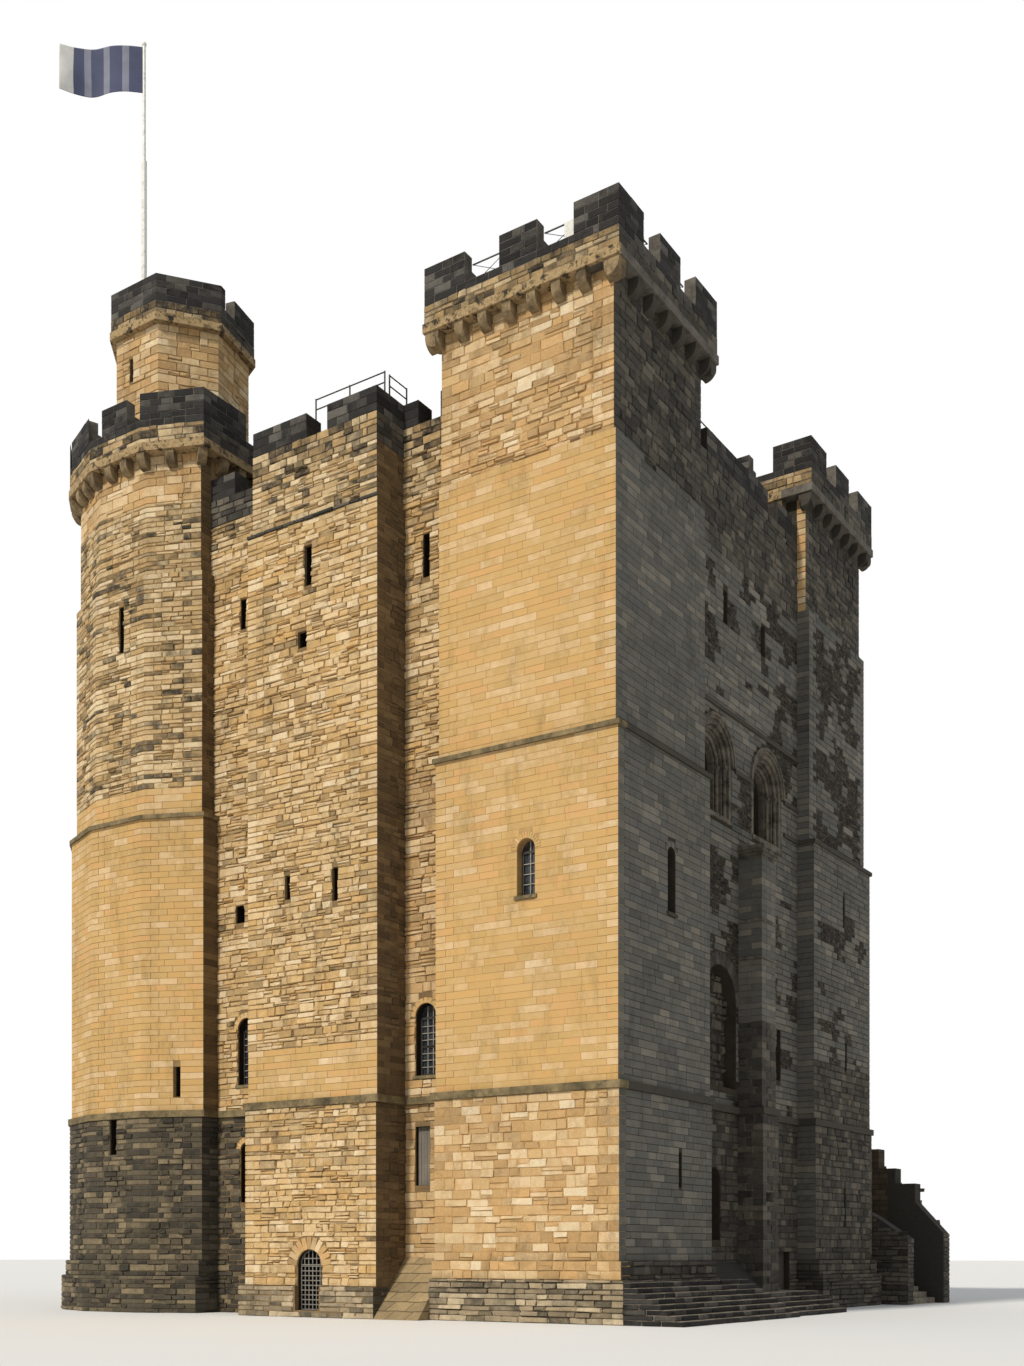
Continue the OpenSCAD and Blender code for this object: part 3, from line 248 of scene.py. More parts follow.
WALL_HOLES = {
    "ab": [AB_WINDOW, BOARDED, (-3.74, 19.38, SLIT_W, 1.15, False)],
    "nb": [
        NB_WINDOW, NB_LOW_WINDOW, (2.74, 19.50, SLIT_W, 0.86, False), (2.86, 11.13, 0.33, 0.50, False),
    ],
    "butt_west": [
        GATE, (-0.72, 19.45, 0.26, 1.08, False), (0.0, 11.19, 0.19, 0.65, False),
        (-1.65, 10.95, 0.20, 0.88, False), (-0.52, 17.84, 0.32, 0.44, False),
    ],
    "sw_west": [SW_WEST_WINDOW],
    "sw_south": [SW_SOUTH_WINDOW, (-5.37, 3.37, 0.17, 0.88, False)],
    "se_south": TURRET_SLITS,
    "ne_north": TURRET_SLITS,
    "south": [
        (-1.44, 19.18, 0.30, 0.90, False), (1.12, 19.12, 0.30, 0.90, False),
        (-2.15, 2.06, 0.76, 2.00, True), (2.24, 6.85, 0.33, 1.52, False), SOUTH_DOOR, RUIN_ARCH, PILASTER,
    ],
    "nw_1": [(NW_Y + 0.735, 6.18, 0.20, 0.87, False)],
    "nw_2": [
        (NW_MID_SIDE_Y + 0.83, 19.24, 0.20, 1.35, False), (NW_MID_SIDE_Y + 0.96, 4.57, 0.28, 1.05, False),
    ],
    "east": [(-0.98, 5.51, 1.60, 2.75, True), *hall_openings(-2.60), *hall_openings(2.60)],
    "north": [
        (NORTH_MID, 6.40, 0.66, 1.90, True), (NORTH_MID, 2.80, SLIT_W, 1.00, False),
        *hall_openings(NORTH_MID),
    ],
}
for great_window in ("great_window_west", "great_window_east"):
    great_x = (low(great_window, X) + high(great_window, X)) / 2
    jamb_w = 2 * (HOOD_R - HOOD_W)
    WALL_HOLES["south"].append((great_x, GREAT_FOOT_Z, jamb_w, GREAT_SPRING_Z - GREAT_FOOT_Z, False))
    WALL_HOLES["south"].append((great_x, GREAT_SPRING_Z, 2 * HOOD_R, HOOD_R, True))
CRENELS = {
    "ab": (-4.20,), "nb": (2.35,), "butt_west": (-1.33,),
    "south": (-3.30, 1.50), "east": (-3.20, -0.36, 2.48), "north": (-1.00, 1.60),
}
for side, starts in CRENELS.items():
    for crenel_start in starts:
        WALL_HOLES[side].append((crenel_start + CRENEL_W / 2, CRENEL_Z, CRENEL_W, 1.0, False))

# Round heads that get a ring of arch stones: (side, opening, width of the ring, stones)
ARCH_RINGS = [
    ("ab", AB_WINDOW, 0.16, 9), ("nb", NB_WINDOW, 0.16, 9), ("nb", NB_LOW_WINDOW, 0.16, 9),
    ("sw_west", SW_WEST_WINDOW, 0.17, 15), ("sw_south", SW_SOUTH_WINDOW, 0.16, 13),
    ("butt_west", GATE, 0.34, 11), ("south", RUIN_ARCH, 0.36, 17),
]
RING_W = {(side, opening): width for side, opening, width, _ in ARCH_RINGS}


# Styles of masonry: finish, course height, share of it by which the beds wander, shortest and longest stone,
# joint, how far the stones stand out, how much that varies, how far corners wander, bevel, drift of a course
Style = namedtuple("Style", "finish course uneven shortest longest joint out vary wander bevel drift")
STYLES = {
    "ashlar": Style("ashlar", 0.182, 0.12, 0.42, 1.15, 0.006, 0.006, 0.002, 0.002, 0.005, 0.0),
    # shade and worn go on fronts in shade; their finish greys the stone as painted shade on top of real
    # weathering
    "shade": Style("weathered", 0.182, 0.12, 0.40, 1.05, 0.009, 0.010, 0.004, 0.003, 0.007, 0.0),
    "worn": Style("weathered", 0.185, 0.16, 0.34, 0.90, 0.012, 0.024, 0.008, 0.009, 0.011, 0.0),
    "squared": Style("honey", 0.225, 0.42, 0.26, 0.70, 0.012, 0.018, 0.016, 0.020, 0.012, 0.03),
    "rough_squared": Style("honey", 0.175, 0.50, 0.24, 0.66, 0.014, 0.030, 0.028, 0.024, 0.016, 0.03),
    "dark_squared": Style("sooty", 0.205, 0.40, 0.24, 0.60, 0.016, 0.024, 0.020, 0.018, 0.014, 0.02),
    "rubble": Style("golden", 0.158, 0.55, 0.20, 0.62, 0.013, 0.030, 0.028, 0.026, 0.016, 0.035),
    "flats": Style("flatstone", 0.140, 0.50, 0.22, 0.66, 0.013, 0.030, 0.028, 0.022, 0.015, 0.035),
    "low_rubble": Style("darkrubble", 0.150, 0.45, 0.24, 0.66, 0.016, 0.030, 0.027, 0.024, 0.016, 0.02),
    "umber": Style("umber", 0.158, 0.55, 0.20, 0.62, 0.014, 0.024, 0.023, 0.026, 0.014, 0.035),
    "smooth_umber": Style("umber", 0.182, 0.12, 0.42, 1.15, 0.006, 0.006, 0.002, 0.002, 0.005, 0.0),
    "plinth": Style("greyrubble", 0.150, 0.55, 0.26, 0.95, 0.014, 0.030, 0.028, 0.024, 0.016, 0.03),
    "dark_plinth": Style("sooty", 0.150, 0.55, 0.26, 0.95, 0.016, 0.036, 0.032, 0.024, 0.018, 0.03),
    "black": Style("black", 0.190, 0.14, 0.30, 0.70, 0.008, 0.010, 0.007, 0.005, 0.010, 0.0),
    "band": Style("mixed", 0.175, 0.45, 0.22, 0.56, 0.014, 0.024, 0.020, 0.018, 0.014, 0.0),
    "ledge": Style("sooty", 0.09, 0.0, 0.30, 0.70, 0.010, 0.060, 0.012, 0.010, 0.014, 0.0),
    # steps: black risers, painted shade under the paler treads
    "steps": Style("black", 0.125, 0.0, 0.35, 1.10, 0.012, 0.030, 0.026, 0.016, 0.014, 0.0),
    "infill": Style("sooty", 0.215, 0.60, 0.20, 0.52, 0.024, 0.055, 0.050, 0.034, 0.024, 0.03),
    "crumbled": Style("sooty", 0.0, 0.0, 0.12, 0.32, 0.022, 0.016, 0.013, 0.022, 0.018, 0.0),
}
QUOIN_OUT = 0.012
QUOIN_SHORT, QUOIN_LONG = 0.30, 0.55
LEAST_OUT = 0.003


# Masonry of each side from the ground up: (top of the stretch, style)

def plain_turret(lip):
    return [(PLINTH_Z, "plinth"), (OFFSET_Z, "ashlar"), (lip, "squared")]


# Fronts in shade: their dark finishes are painted shade as well as real soot
def shaded_turret(lip):
    return [(PLINTH_Z, "dark_plinth"), (OFFSET_Z, "shade"), (lip, "dark_squared")]


BUTT_ASHLAR_FOOT_Z, BUTT_ASHLAR_TOP_Z = 5.80, 7.20
NW_ASHLAR_TOP_Z, NW_FLATS_TOP_Z = 15.10, 23.40
LEDGE_H = 0.10
BATTLEMENT = [(CRENEL_Z, "band"), (PARAPET_TOP, "black")]
DARK_BATTLEMENT = [(CRENEL_Z, "dark_squared"), (PARAPET_TOP, "black")]
UNSEEN_WALL = [(STRING_Z, "plinth"), (ROOF, "rubble"), *BATTLEMENT]
# Fronts in shade get darker styles, whose finishes paint shade as well as real soot
COURSES = {
    "sw_west": [(PLINTH_STEP_Z, "plinth"), (STRING_Z, "squared"), (OFFSET_Z, "ashlar"),
                (23.2, "rough_squared"), (SW_LIP, "squared")],
    "sw_south": shaded_turret(SW_LIP),
    "sw_return": shaded_turret(SW_LIP),
    "sw_back": [(PLINTH_STEP_Z, "plinth"), (STRING_Z, "squared"), (OFFSET_Z, "ashlar"), (SW_LIP, "squared")],
    "south": [(PLINTH_Z, "dark_plinth"), (STRING_Z, "dark_squared"), (21.0, "worn"), *DARK_BATTLEMENT],
    # Below its lip this west-facing return lies in the south-west turret's shadow: its shade style is painted
    # shadow
    "se_return": [(PLINTH_Z, "dark_plinth"), (OFFSET_Z, "shade"), (LIP, "squared")],
    "se_south": [(PLINTH_Z, "dark_plinth"), (7.60, "dark_squared"), (OFFSET_Z, "worn"),
                 (LIP, "dark_squared")],
    "se_east": plain_turret(LIP),
    "se_back": plain_turret(LIP),
    "east": UNSEEN_WALL,
    "ne_back": plain_turret(LIP),
    "ne_east": plain_turret(LIP),
    "ne_north": shaded_turret(LIP),
    "ne_return": shaded_turret(LIP),
    "north": UNSEEN_WALL,
    "nw": [(STRING_Z, "low_rubble"), (NW_ASHLAR_TOP_Z, "ashlar"), (NW_FLATS_TOP_Z, "flats"),
           (LIP, "squared")],
    "nw_back": [(STRING_Z, "dark_plinth"), (NW_ASHLAR_TOP_Z, "smooth_umber"), (NW_FLATS_TOP_Z, "umber"),
                (LIP, "umber")],
    "nb": [(STRING_Z, "low_rubble"), (21.90, "rubble"), (ROOF, "flats"), *DARK_BATTLEMENT],
    "butt": [(BUTT_PLINTH_Z, "plinth"), (BUTT_ASHLAR_FOOT_Z, "rubble"), (BUTT_ASHLAR_TOP_Z, "ashlar"),
             (OFFSET_Z - LEDGE_H, "rubble"), (OFFSET_Z, "ledge"), (ROOF, "flats"), *BATTLEMENT],
    "butt_south": [(BUTT_PLINTH_Z, "dark_plinth"), (BUTT_ASHLAR_FOOT_Z, "umber"),
                   (BUTT_ASHLAR_TOP_Z, "smooth_umber"), (ROOF, "umber"), *DARK_BATTLEMENT],
    "ab": [(PLINTH_Z, "plinth"), (9.20, "squared"), (14.30, "rough_squared"), (21.60, "rubble"),
           (ROOF, "flats"), *BATTLEMENT],
}

# Where smooth masonry has crumbled to rubble: (along from, to, up from, to, share of the stones)
CRUMBLED = {
    "south": [
        (1.6, 3.8, 15.2, 21.0, 0.62), (-3.6, 1.6, 17.0, 21.0, 0.24), (-3.6, -0.5, 9.4, 12.9, 0.70),
        (-0.9, 0.2, 13.8, 15.3, 0.45), (0.3, 3.8, 5.8, 12.9, 0.34), (-3.6, -0.5, 5.8, 9.4, 0.40),
    ],
    "se_south": [(3.6, 8.6, 14.4, 21.3, 0.48), (3.6, 8.6, 7.6, 14.4, 0.22)],
    "se_return": [(-9.9, -9.2, 14.4, 21.3, 0.10)],
    "sw_south": [(-8.6, -3.5, 20.2, 21.3, 0.06)],
}
# Stages of the plan: (foot, top, how far they stand out)
STAGES = [
    (0.0, BUTT_PLINTH_Z, PLINTH_OUT), (BUTT_PLINTH_Z, PLINTH_STEP_Z, PLINTH_OUT),
    (PLINTH_STEP_Z, PLINTH_Z, MIDDLE_OUT), (PLINTH_Z, STRING_Z, LOWER_OUT), (STRING_Z, HIGH_STRING_Z, 0.0),
    (HIGH_STRING_Z, OFFSET_Z, -STAGE_IN), (OFFSET_Z, SW_LIP, -TOP_IN),
]
OWNERS = {
    "south": "south_wall", "north": "north_wall", "east": "east_wall", "ab": "west_wall", "nb": "west_wall",
    "butt": "west_buttress",
}


def owner_of(side):
    """Name of the facing that a side's stones go to."""
    group = side.split("_")[0]
    return OWNERS.get(group, f"{group}_turret")


class Facing:
    """The stones of one finish, gathered for one mesh."""

    def __init__(self):
        self.rows = []

    def add(self, place, along, up, half, out, ends, bevel, tone, soot, wander):
        self.rows.append((*place, *along, *up, *half, out, *ends, bevel, tone, soot, wander))


facings = {}


def facing(owner, finish):
    return facings.setdefault((owner, finish), Facing())


def cluster(x, y, z, scale, seed):
    """Smooth noise from 0 to 1 that groups neighbouring stones."""
    value = noise.noise(Vector((x / scale + seed, y / scale, z / scale)))
    return min(1.0, max(0.0, 0.5 + value * 0.9))


# Strings under which soot gathers, and how far down it reaches
SOOT_BELOW = ((STRING_Z, 1.1), (HIGH_STRING_Z, 1.5), (OFFSET_Z, 1.0))
# Height from which the tops of the walls grow dark, and over how much height
SOOT_TOP_Z, SOOT_TOP_H = 22.3, 1.2


def soot_at(x, y, z):
    """How dark the weather has made the stone: under strings, on merlons and in patches."""
    patch = cluster(x, y, z * 0.7, 2.6, 7.3)
    fine = cluster(x, y, z, 0.8, 31.0)
    below_string = 0.0
    for line, reach in SOOT_BELOW:
        gap = line - z
        if 0 < gap < reach:
            below_string = max(below_string, 1 - gap / reach)
    high_up = min(1.0, max(0.0, (z - SOOT_TOP_Z) / SOOT_TOP_H)) * 0.35
    return min(1.0, 0.55 * patch * fine + 0.35 * below_string * (0.4 + 0.6 * fine) + high_up * fine)


# How far a course may reach past an opening's sill or head and still run through
BED_SLACK = 0.01
# Share of a course's height at which the width of an arch is taken
ARCH_LEVEL = 0.3
SHORTEST_SPAN = 0.06
SHORTEST_SIDE = 0.12
LOWEST_STRETCH = 0.05


def half_width(opening, z0, z1, ring):
    """Half the width of an opening, with its arch stones, over a course from z0 to z1; 0 if clear of it."""
    _, sill, width, height, round_head = opening
    spring = sill + height - width / 2 if round_head else sill + height
    head = sill + height + (ring if round_head else 0)
    if z1 <= sill + BED_SLACK or z0 >= head - BED_SLACK:
        return 0.0
    r = width / 2 + ring
    if not round_head or z0 < spring:
        mostly_arch = round_head and z1 - spring > spring - z0
        return r if mostly_arch else width / 2 + LEAF_ROOM.get(opening, 0.0)
    rise = z0 - spring + ARCH_LEVEL * (z1 - z0)
    return math.sqrt(max(0.0, r * r - rise * rise))


def clear_spans(length, start, axis, slope, holes, side, z0, z1):
    """Stretches of a course that no opening cuts, as (start, end) along the side.

    Openings are placed along a world axis, and slope is how far that axis goes for each metre of the side."""
    cuts = []
    for opening in holes:
        reach = half_width(opening, z0, z1, RING_W.get((side, opening), 0.0))
        if reach > 0:
            middle = (opening[0] - start[axis]) / slope
            reach = reach / abs(slope)
            cuts.append((middle - reach, middle + reach))
    spans = []
    u = 0.0
    for c0, c1 in sorted(cuts):
        if c1 <= u or c0 >= length:
            continue
        if c0 - u > SHORTEST_SPAN:
            spans.append((u, c0))
        u = max(u, c1)
    if length - u > SHORTEST_SPAN:
        spans.append((u, length))
    return spans


def split_span(u0, u1, style, rng, first, last):
    """Joints of one course between u0 and u1; first and last are the lengths of the quoins, or 0."""
    lo, hi = style.shortest, style.longest
    joints = [u0]
    u = u0
    if first and u1 - u0 > first + lo:
        u += first
        joints.append(u)
    stop = u1 - last if last and u1 - u > last + lo else u1
    while stop - u > hi * 1.15:
        u += lo + (hi - lo) * rng.random() ** 1.3
        joints.append(u)
    if stop - u > hi * 0.8 and stop - u > 2 * lo:
        joints.append(u + (stop - u) * (0.4 + 0.2 * rng.random()))
    if stop < u1:
        joints.append(stop)
    joints.append(u1)
    return joints


def course_lines(z0, z1, height, uneven, seed):
    """Bed joints from z0 to z1; uneven is the share of a course by which they wander."""
    count = max(1, round((z1 - z0) / height))
    rng = random.Random(seed)
    lines = [z0 + (z1 - z0) * k / count + (rng.random() - 0.5) * height * uneven for k in range(count + 1)]
    lines[0], lines[-1] = z0, z1
    return lines


def lay_wall(owner, side, a, b, turns, stretch, style_name, holes=(), ceiling=None):
    """Lays one style of masonry on the side from a to b, over a stretch of heights.

    turns holds the corner angles at a and b in radians, positive where the wall turns a convex corner.
    ceiling gives the height at which the wall ends, from the distance along it."""
    style = STYLES[style_name]
    z0, z1 = stretch
    dx, dy = b[0] - a[0], b[1] - a[1]
    length = math.hypot(dx, dy)
    if length < SHORTEST_SIDE or z1 - z0 < LOWEST_STRETCH:
        return
    along = (dx / length, dy / length, 0.0)
    axis = X if abs(dx) > abs(dy) else Y
    target = facing(owner, style.finish)
    lines = course_lines(z0, z1, style.course, style.uneven, f"{style_name} {z0:.2f} {z1:.2f}")
    for row in range(len(lines) - 1):
        zb, zt = lines[row], lines[row + 1]
        rng = random.Random(f"{side} {zb:.3f}")
        for u0, u1 in clear_spans(length, a, axis, along[axis], holes, side, zb, zt):
            at_start = u0 == 0.0 and turns[0] > 0.1
            at_end = u1 == length and turns[1] > 0.1
            quoins = (QUOIN_LONG, QUOIN_SHORT) if row % 2 else (QUOIN_SHORT, QUOIN_LONG)
            first = quoins[0] if at_start else 0.0
            last = quoins[1] if at_end else 0.0
            joints = split_span(u0, u1, style, rng, first, last)
            for k, s in enumerate(zip(joints, joints[1:])):
                corners = (at_start and k == 0, at_end and k == len(joints) - 2)
                middle = (s[0] + s[1]) / 2
                place = stone_place(a, along, middle, (zb + zt) / 2)
                if not any(corners) and has_crumbled(side, axis, place):
                    lay_crumbled(owner, a, along, s, (zb, zt), rng)
                else:
                    bends = [turn if corner else 0.0 for turn, corner in zip(turns, corners)]
                    lay_stone(target, style, a, along, s, (zb, zt), rng, bends, ceiling, (z0, z1))


def has_crumbled(side, axis, place):
    """Whether the stone at a place on a side lies in a crumbled patch."""
    for u0, u1, z0, z1, share in CRUMBLED.get(side, []):
        if u0 < place[axis] < u1 and z0 < place[2] < z1:
            return cluster(place[0] * 1.3, place[1] * 1.3, place[2], 0.95, 55.0) < share
    return False


def stone_place(a, along, u, z):
    """Point of a wall at a distance along it and a height."""
    return a[0] + along[0] * u, a[1] + along[1] * u, z


# Largest bevel, as a share of half of a stone's length or height
BEVEL_SHARE = 0.6


def bevel_of(style, half):
    """The bevel of a stone of half a length and half a height."""
    return min(style.bevel, half[0] * BEVEL_SHARE, half[1] * BEVEL_SHARE)


def lay_crumbled(owner, a, along, s, z, rng):
    """Small rubble where a smooth stone has decayed."""
    style = STYLES["crumbled"]
    target = facing(owner, style.finish)
    middle = z[0] + (z[1] - z[0]) * (0.35 + 0.3 * rng.random())
    for zb, zt in ((z[0], middle), (middle, z[1])):
        u = s[0]
        while u < s[1] - 0.05:
            end = min(s[1], u + style.shortest + (style.longest - style.shortest) * rng.random())
            if s[1] - end < 0.08:
                end = s[1]
            half = ((end - u - style.joint) / 2, (zt - zb - style.joint * 0.8) / 2)
            out = style.out + style.vary * (rng.random() * 2 - 1)
            bevel = bevel_of(style, half)
            tone, soot = rng.random(), 0.25 + 0.75 * rng.random()
            place = stone_place(a, along, (u + end) / 2, (zb + zt) / 2)
            target.add(place, along, (0, 0, 1), half, out, (bevel, bevel), bevel, tone, soot, style.wander)
            u = end


def lay_stone(target, style, a, along, s, z, rng, bends, ceiling, ends_z):
    """Adds one stone, or in rubble sometimes two thin ones on each other.

    bends holds the angles that its ends turn at the wall's corners, 0 at a plain joint."""
    corner = any(bends)
    middle = (s[0] + s[1]) / 2
    drift = 0.0
    if style.drift:
        fade = min(1.0, (z[0] - ends_z[0]) / 0.4, (ends_z[1] - z[1]) / 0.4)
        flow = noise.noise(Vector(stone_place(a, along, middle, z[0] * 0.6)) * 0.55)
        drift = style.drift * fade * flow
    parts = [z]
    if not corner and style.finish in ("golden", "flatstone", "honey") and rng.random() < 0.2:
        split = z[0] + (z[1] - z[0]) * (0.38 + 0.24 * rng.random())
        parts = [(z[0], split), (split, z[1])]
    for zb, zt in parts:
        if ceiling and zt > ceiling(middle):
            continue
        half = ((s[1] - s[0] - style.joint) / 2, (zt - zb - style.joint) / 2)
        if half[0] < 0.02 or half[1] < 0.012:
            continue
        shift = 0.0
        # A corner stone has no joint at the corner
        for bend, sign in zip(bends, (-1, 1)):
            if bend > 0:
                half = (half[0] + style.joint / 4, half[1])
                shift = sign * style.joint / 4
        place = stone_place(a, along, middle + shift, (zb + zt) / 2 + drift)
        out = style.out + style.vary * (rng.random() * 2 - 1)
        wander = style.wander
        bevel = bevel_of(style, half)
        ends = [bevel, bevel]
        tone = rng.random()
        if corner:
            out = max(QUOIN_OUT, style.out * 0.7)
            wander = 0.0
            ends = [-out * math.tan(bend / 2) if bend > 0 else bevel for bend in bends]
            x, y, _ = stone_place(a, along, s[0] if bends[0] > 0 else s[1], 0.0)
            tone = random.Random(f"quoin {x:.1f} {y:.1f} {zb:.2f}").random()
        blend = cluster(place[0], place[1], place[2], 1.7, 90.0)
        tone = min(1.0, max(0.0, 0.72 * tone + 0.28 * blend))
        target.add(place, along, (0, 0, 1), half, max(out, LEAST_OUT), ends, bevel, tone, soot_at(*place),
                   wander)


def turn_between(p, q, r):
    """Turn at q on the way from p to r, positive to the left."""
    u = unit((q[0] - p[0], q[1] - p[1]))
    v = unit((r[0] - q[0], r[1] - q[1]))
    return math.atan2(u[0] * v[1] - u[1] * v[0], u[0] * v[0] + u[1] * v[1])


def lay_outline(points, names, owner, z0, z1, style_for, holes):
    """Lays masonry round a closed counter-clockwise outline."""
    count = len(points)
    for k in range(count):
        p, a, b, c = points[k - 1], points[k], points[(k + 1) % count], points[(k + 2) % count]
        if math.hypot(b[0] - a[0], b[1] - a[1]) < 0.05:
            continue
        turns = (turn_between(p, a, b), turn_between(a, b, c))
        name = names[k]
        for stretch, style in style_for(name, z0, z1):
            lay_wall(owner or owner_of(name), name, a, b, turns, stretch, style, holes.get(name, ()))


def styles_between(side, z0, z1):
    """The stretches of a side's masonry between two heights."""
    result = []
    base = 0.0
    for top, style in COURSES.get(side) or COURSES[side.split("_")[0]]:
        lo, hi = max(base, z0), min(top, z1)
        if hi - lo > 0.04:
            result.append(((lo, hi), style))
        base = top
    return result


def lay_keep():
    for z0, z1, g in STAGES:
        names, points = zip(*keep_outline(g, (z0 + z1) / 2))
        lay_outline(points, names, None, z0, z1, styles_between, WALL_HOLES)


# Battlements

CORBEL_OUT = 0.32
LIP_H = 0.23
SILL_H = 0.90
MERLON_H = 0.77
CORNER_MERLON = 1.24
MERLON_L = 1.11
FLAG_PARAPET_OUT = 0.17
FLAG_SILL_H, FLAG_MERLON_H = 0.80, 0.60
COPING_H = 0.20
PARAPET_LIP_OUT = 0.05
# Crenels of the many-sided parapets: (side, start, end)
NW_GAPS = [
    (1, 0, 0.56), (1, 1.60, 2.20), (2, 0, 0.25), (2, 1.75, 2.30), (4, 0, 0.30), (4, 1.60, 2.25),
    (5, 0, 0.25), (5, 1.50, 2.15), (8, 1.10, 2.20), (8, 3.30, 4.40), (7, 1.10, 2.20), (7, 3.30, 4.40),
]
FLAG_GAPS = [(k, 1.15, 1.70) for k in range(1, 6)]


def lay_battlement(owner, outline, lip_z, sill_h, merlon_h, gaps):
    """Black masonry on the outer faces of a battlement; the outline runs clockwise, as in the gaps."""
    count = len(outline)
    sill_z = lip_z + sill_h
    for k in range(count):
        a, b = outline[(k + 1) % count], outline[k]
        before, after = outline[(k + 2) % count], outline[k - 1]
        length = math.hypot(b[0] - a[0], b[1] - a[1])
        axis = X if abs(b[0] - a[0]) > abs(b[1] - a[1]) else Y
        sign = 1 if b[axis] > a[axis] else -1
        holes = []
        for side, start, end in gaps:
            if side == k:
                middle = length - (start + end) / 2
                holes.append((a[axis] + sign * middle, sill_z, end - start, 2.0, False))
        turns = (turn_between(before, a, b), turn_between(a, b, after))
        name = f"{owner}_{k}"
        # The band on the side facing south gets the dark squared style as painted shade
        band = "dark_squared" if b[0] - a[0] > 0.9 * length else "band"
        coping_z = sill_z - COPING_H
        lay_wall(owner, name, a, b, turns, (lip_z + LIP_H, coping_z), band)
        lay_wall(owner, name, a, b, turns, (coping_z, sill_z), "black")
        lay_wall(owner, name, a, b, turns, (sill_z, sill_z + merlon_h), "black", holes)


def crenel_lengths(length):
    """Start and end of the two crenels of a square turret's side."""
    return [(CORNER_MERLON, (length - MERLON_L) / 2), ((length + MERLON_L) / 2, length - CORNER_MERLON)]


def square_gaps(outline):
    gaps = []
    for k, a in enumerate(outline):
        b = outline[(k + 1) % 4]
        gaps += [(k, *crenel) for crenel in crenel_lengths(math.hypot(b[0] - a[0], b[1] - a[1]))]
    return gaps


def square_outline(node):
    """Clockwise outline of a square battlement, inside the lip of its moulded course."""
    x0, y0 = low(node, X) + PARAPET_LIP_OUT, low(node, Y) + PARAPET_LIP_OUT
    x1, y1 = high(node, X) - PARAPET_LIP_OUT, high(node, Y) - PARAPET_LIP_OUT
    return [(x0, y0), (x0, y1), (x1, y1), (x1, y0)]


def lay_battlements():
    for name, lip in (("sw_parapet", SW_LIP), ("se_parapet", LIP), ("ne_parapet", LIP)):
        outline = square_outline(name)
        lay_battlement(name, outline, lip, SILL_H, MERLON_H, square_gaps(outline))
    lay_battlement("nw_parapet", moved(NW_OUTLINE, CORBEL_OUT - TOP_IN), LIP, SILL_H, MERLON_H, NW_GAPS)
    lay_battlement("flag_turret_parapet", flag_outline(FLAG_R + FLAG_PARAPET_OUT), FLAG_LIP, FLAG_SILL_H,
                   FLAG_MERLON_H, FLAG_GAPS)


FLAG_BASE_H = 1.5
FLAG_DOORWAY = (FLAG_MID[1], low("flag_turret", Z), 0.62, 1.65, True)
FLAG_SLIT = (FLAG_MID[1] + 0.25, FLAG_LIP - 1.40, 0.15, 0.70, False)
# The doorway is cut through the corner between two sides
FLAG_HOLES = {"flag_5": [FLAG_SLIT], "flag_1": [FLAG_DOORWAY], "flag_2": [FLAG_DOORWAY]}


def lay_flag_turret():
    points = list(reversed(flag_outline(FLAG_R)))
    names = [f"flag_{k}" for k in range(FLAG_SIDES)]
    lay_outline(points, names, "flag_turret", low("flag_turret", Z), FLAG_LIP,
                lambda side, z0, z1: [((z0, z0 + FLAG_BASE_H), "flats"), ((z0 + FLAG_BASE_H, z1), "squared")],
                FLAG_HOLES)


PARAPET_D = 0.6


def lay_upper_sides():
    """Sides of the turrets that stand free above the roofs of the walls."""
    inner = [
        ("sw_turret", (SW_X, WALL_S + PARAPET_D), (SW_X, SW_Y), SW_LIP),
        ("sw_turret", (SW_X, SW_Y), (WALL_W + PARAPET_D, SW_Y), SW_LIP),
        ("se_turret", (SE_X, SE_Y), (SE_X, WALL_S + PARAPET_D), LIP),
        ("se_turret", (WALL_E - PARAPET_D, SE_Y), (SE_X, SE_Y), LIP),
        ("ne_turret", (SE_X, WALL_N - PARAPET_D), (SE_X, NE_Y), LIP),
        ("ne_turret", (SE_X, NE_Y), (WALL_E - PARAPET_D, NE_Y), LIP),
    ]
    for owner, a, b, top in inner:
        lay_wall(owner, f"{owner}_inner", a, b, (0, 0), (ROOF, top), "squared")


# Outside stair: its walls' depth, the turn that its corner stones follow, the tops of the outer wall as
# (how far along, height), the foot of the inner wall, and where its slope starts
STAIR_WALL_D = 0.6
STAIR_CORNER = 1.0
STAIR_WALL_TOPS = [(0.3, 2.4), (1.0, 3.0), (1.7, 4.15), (2.3, 4.7), (8.4, 5.4)]
STAIR_FOOT_Z = 2.2
STAIR_SLOPE_Z, STAIR_SLOPE_START = 2.95, 1.1


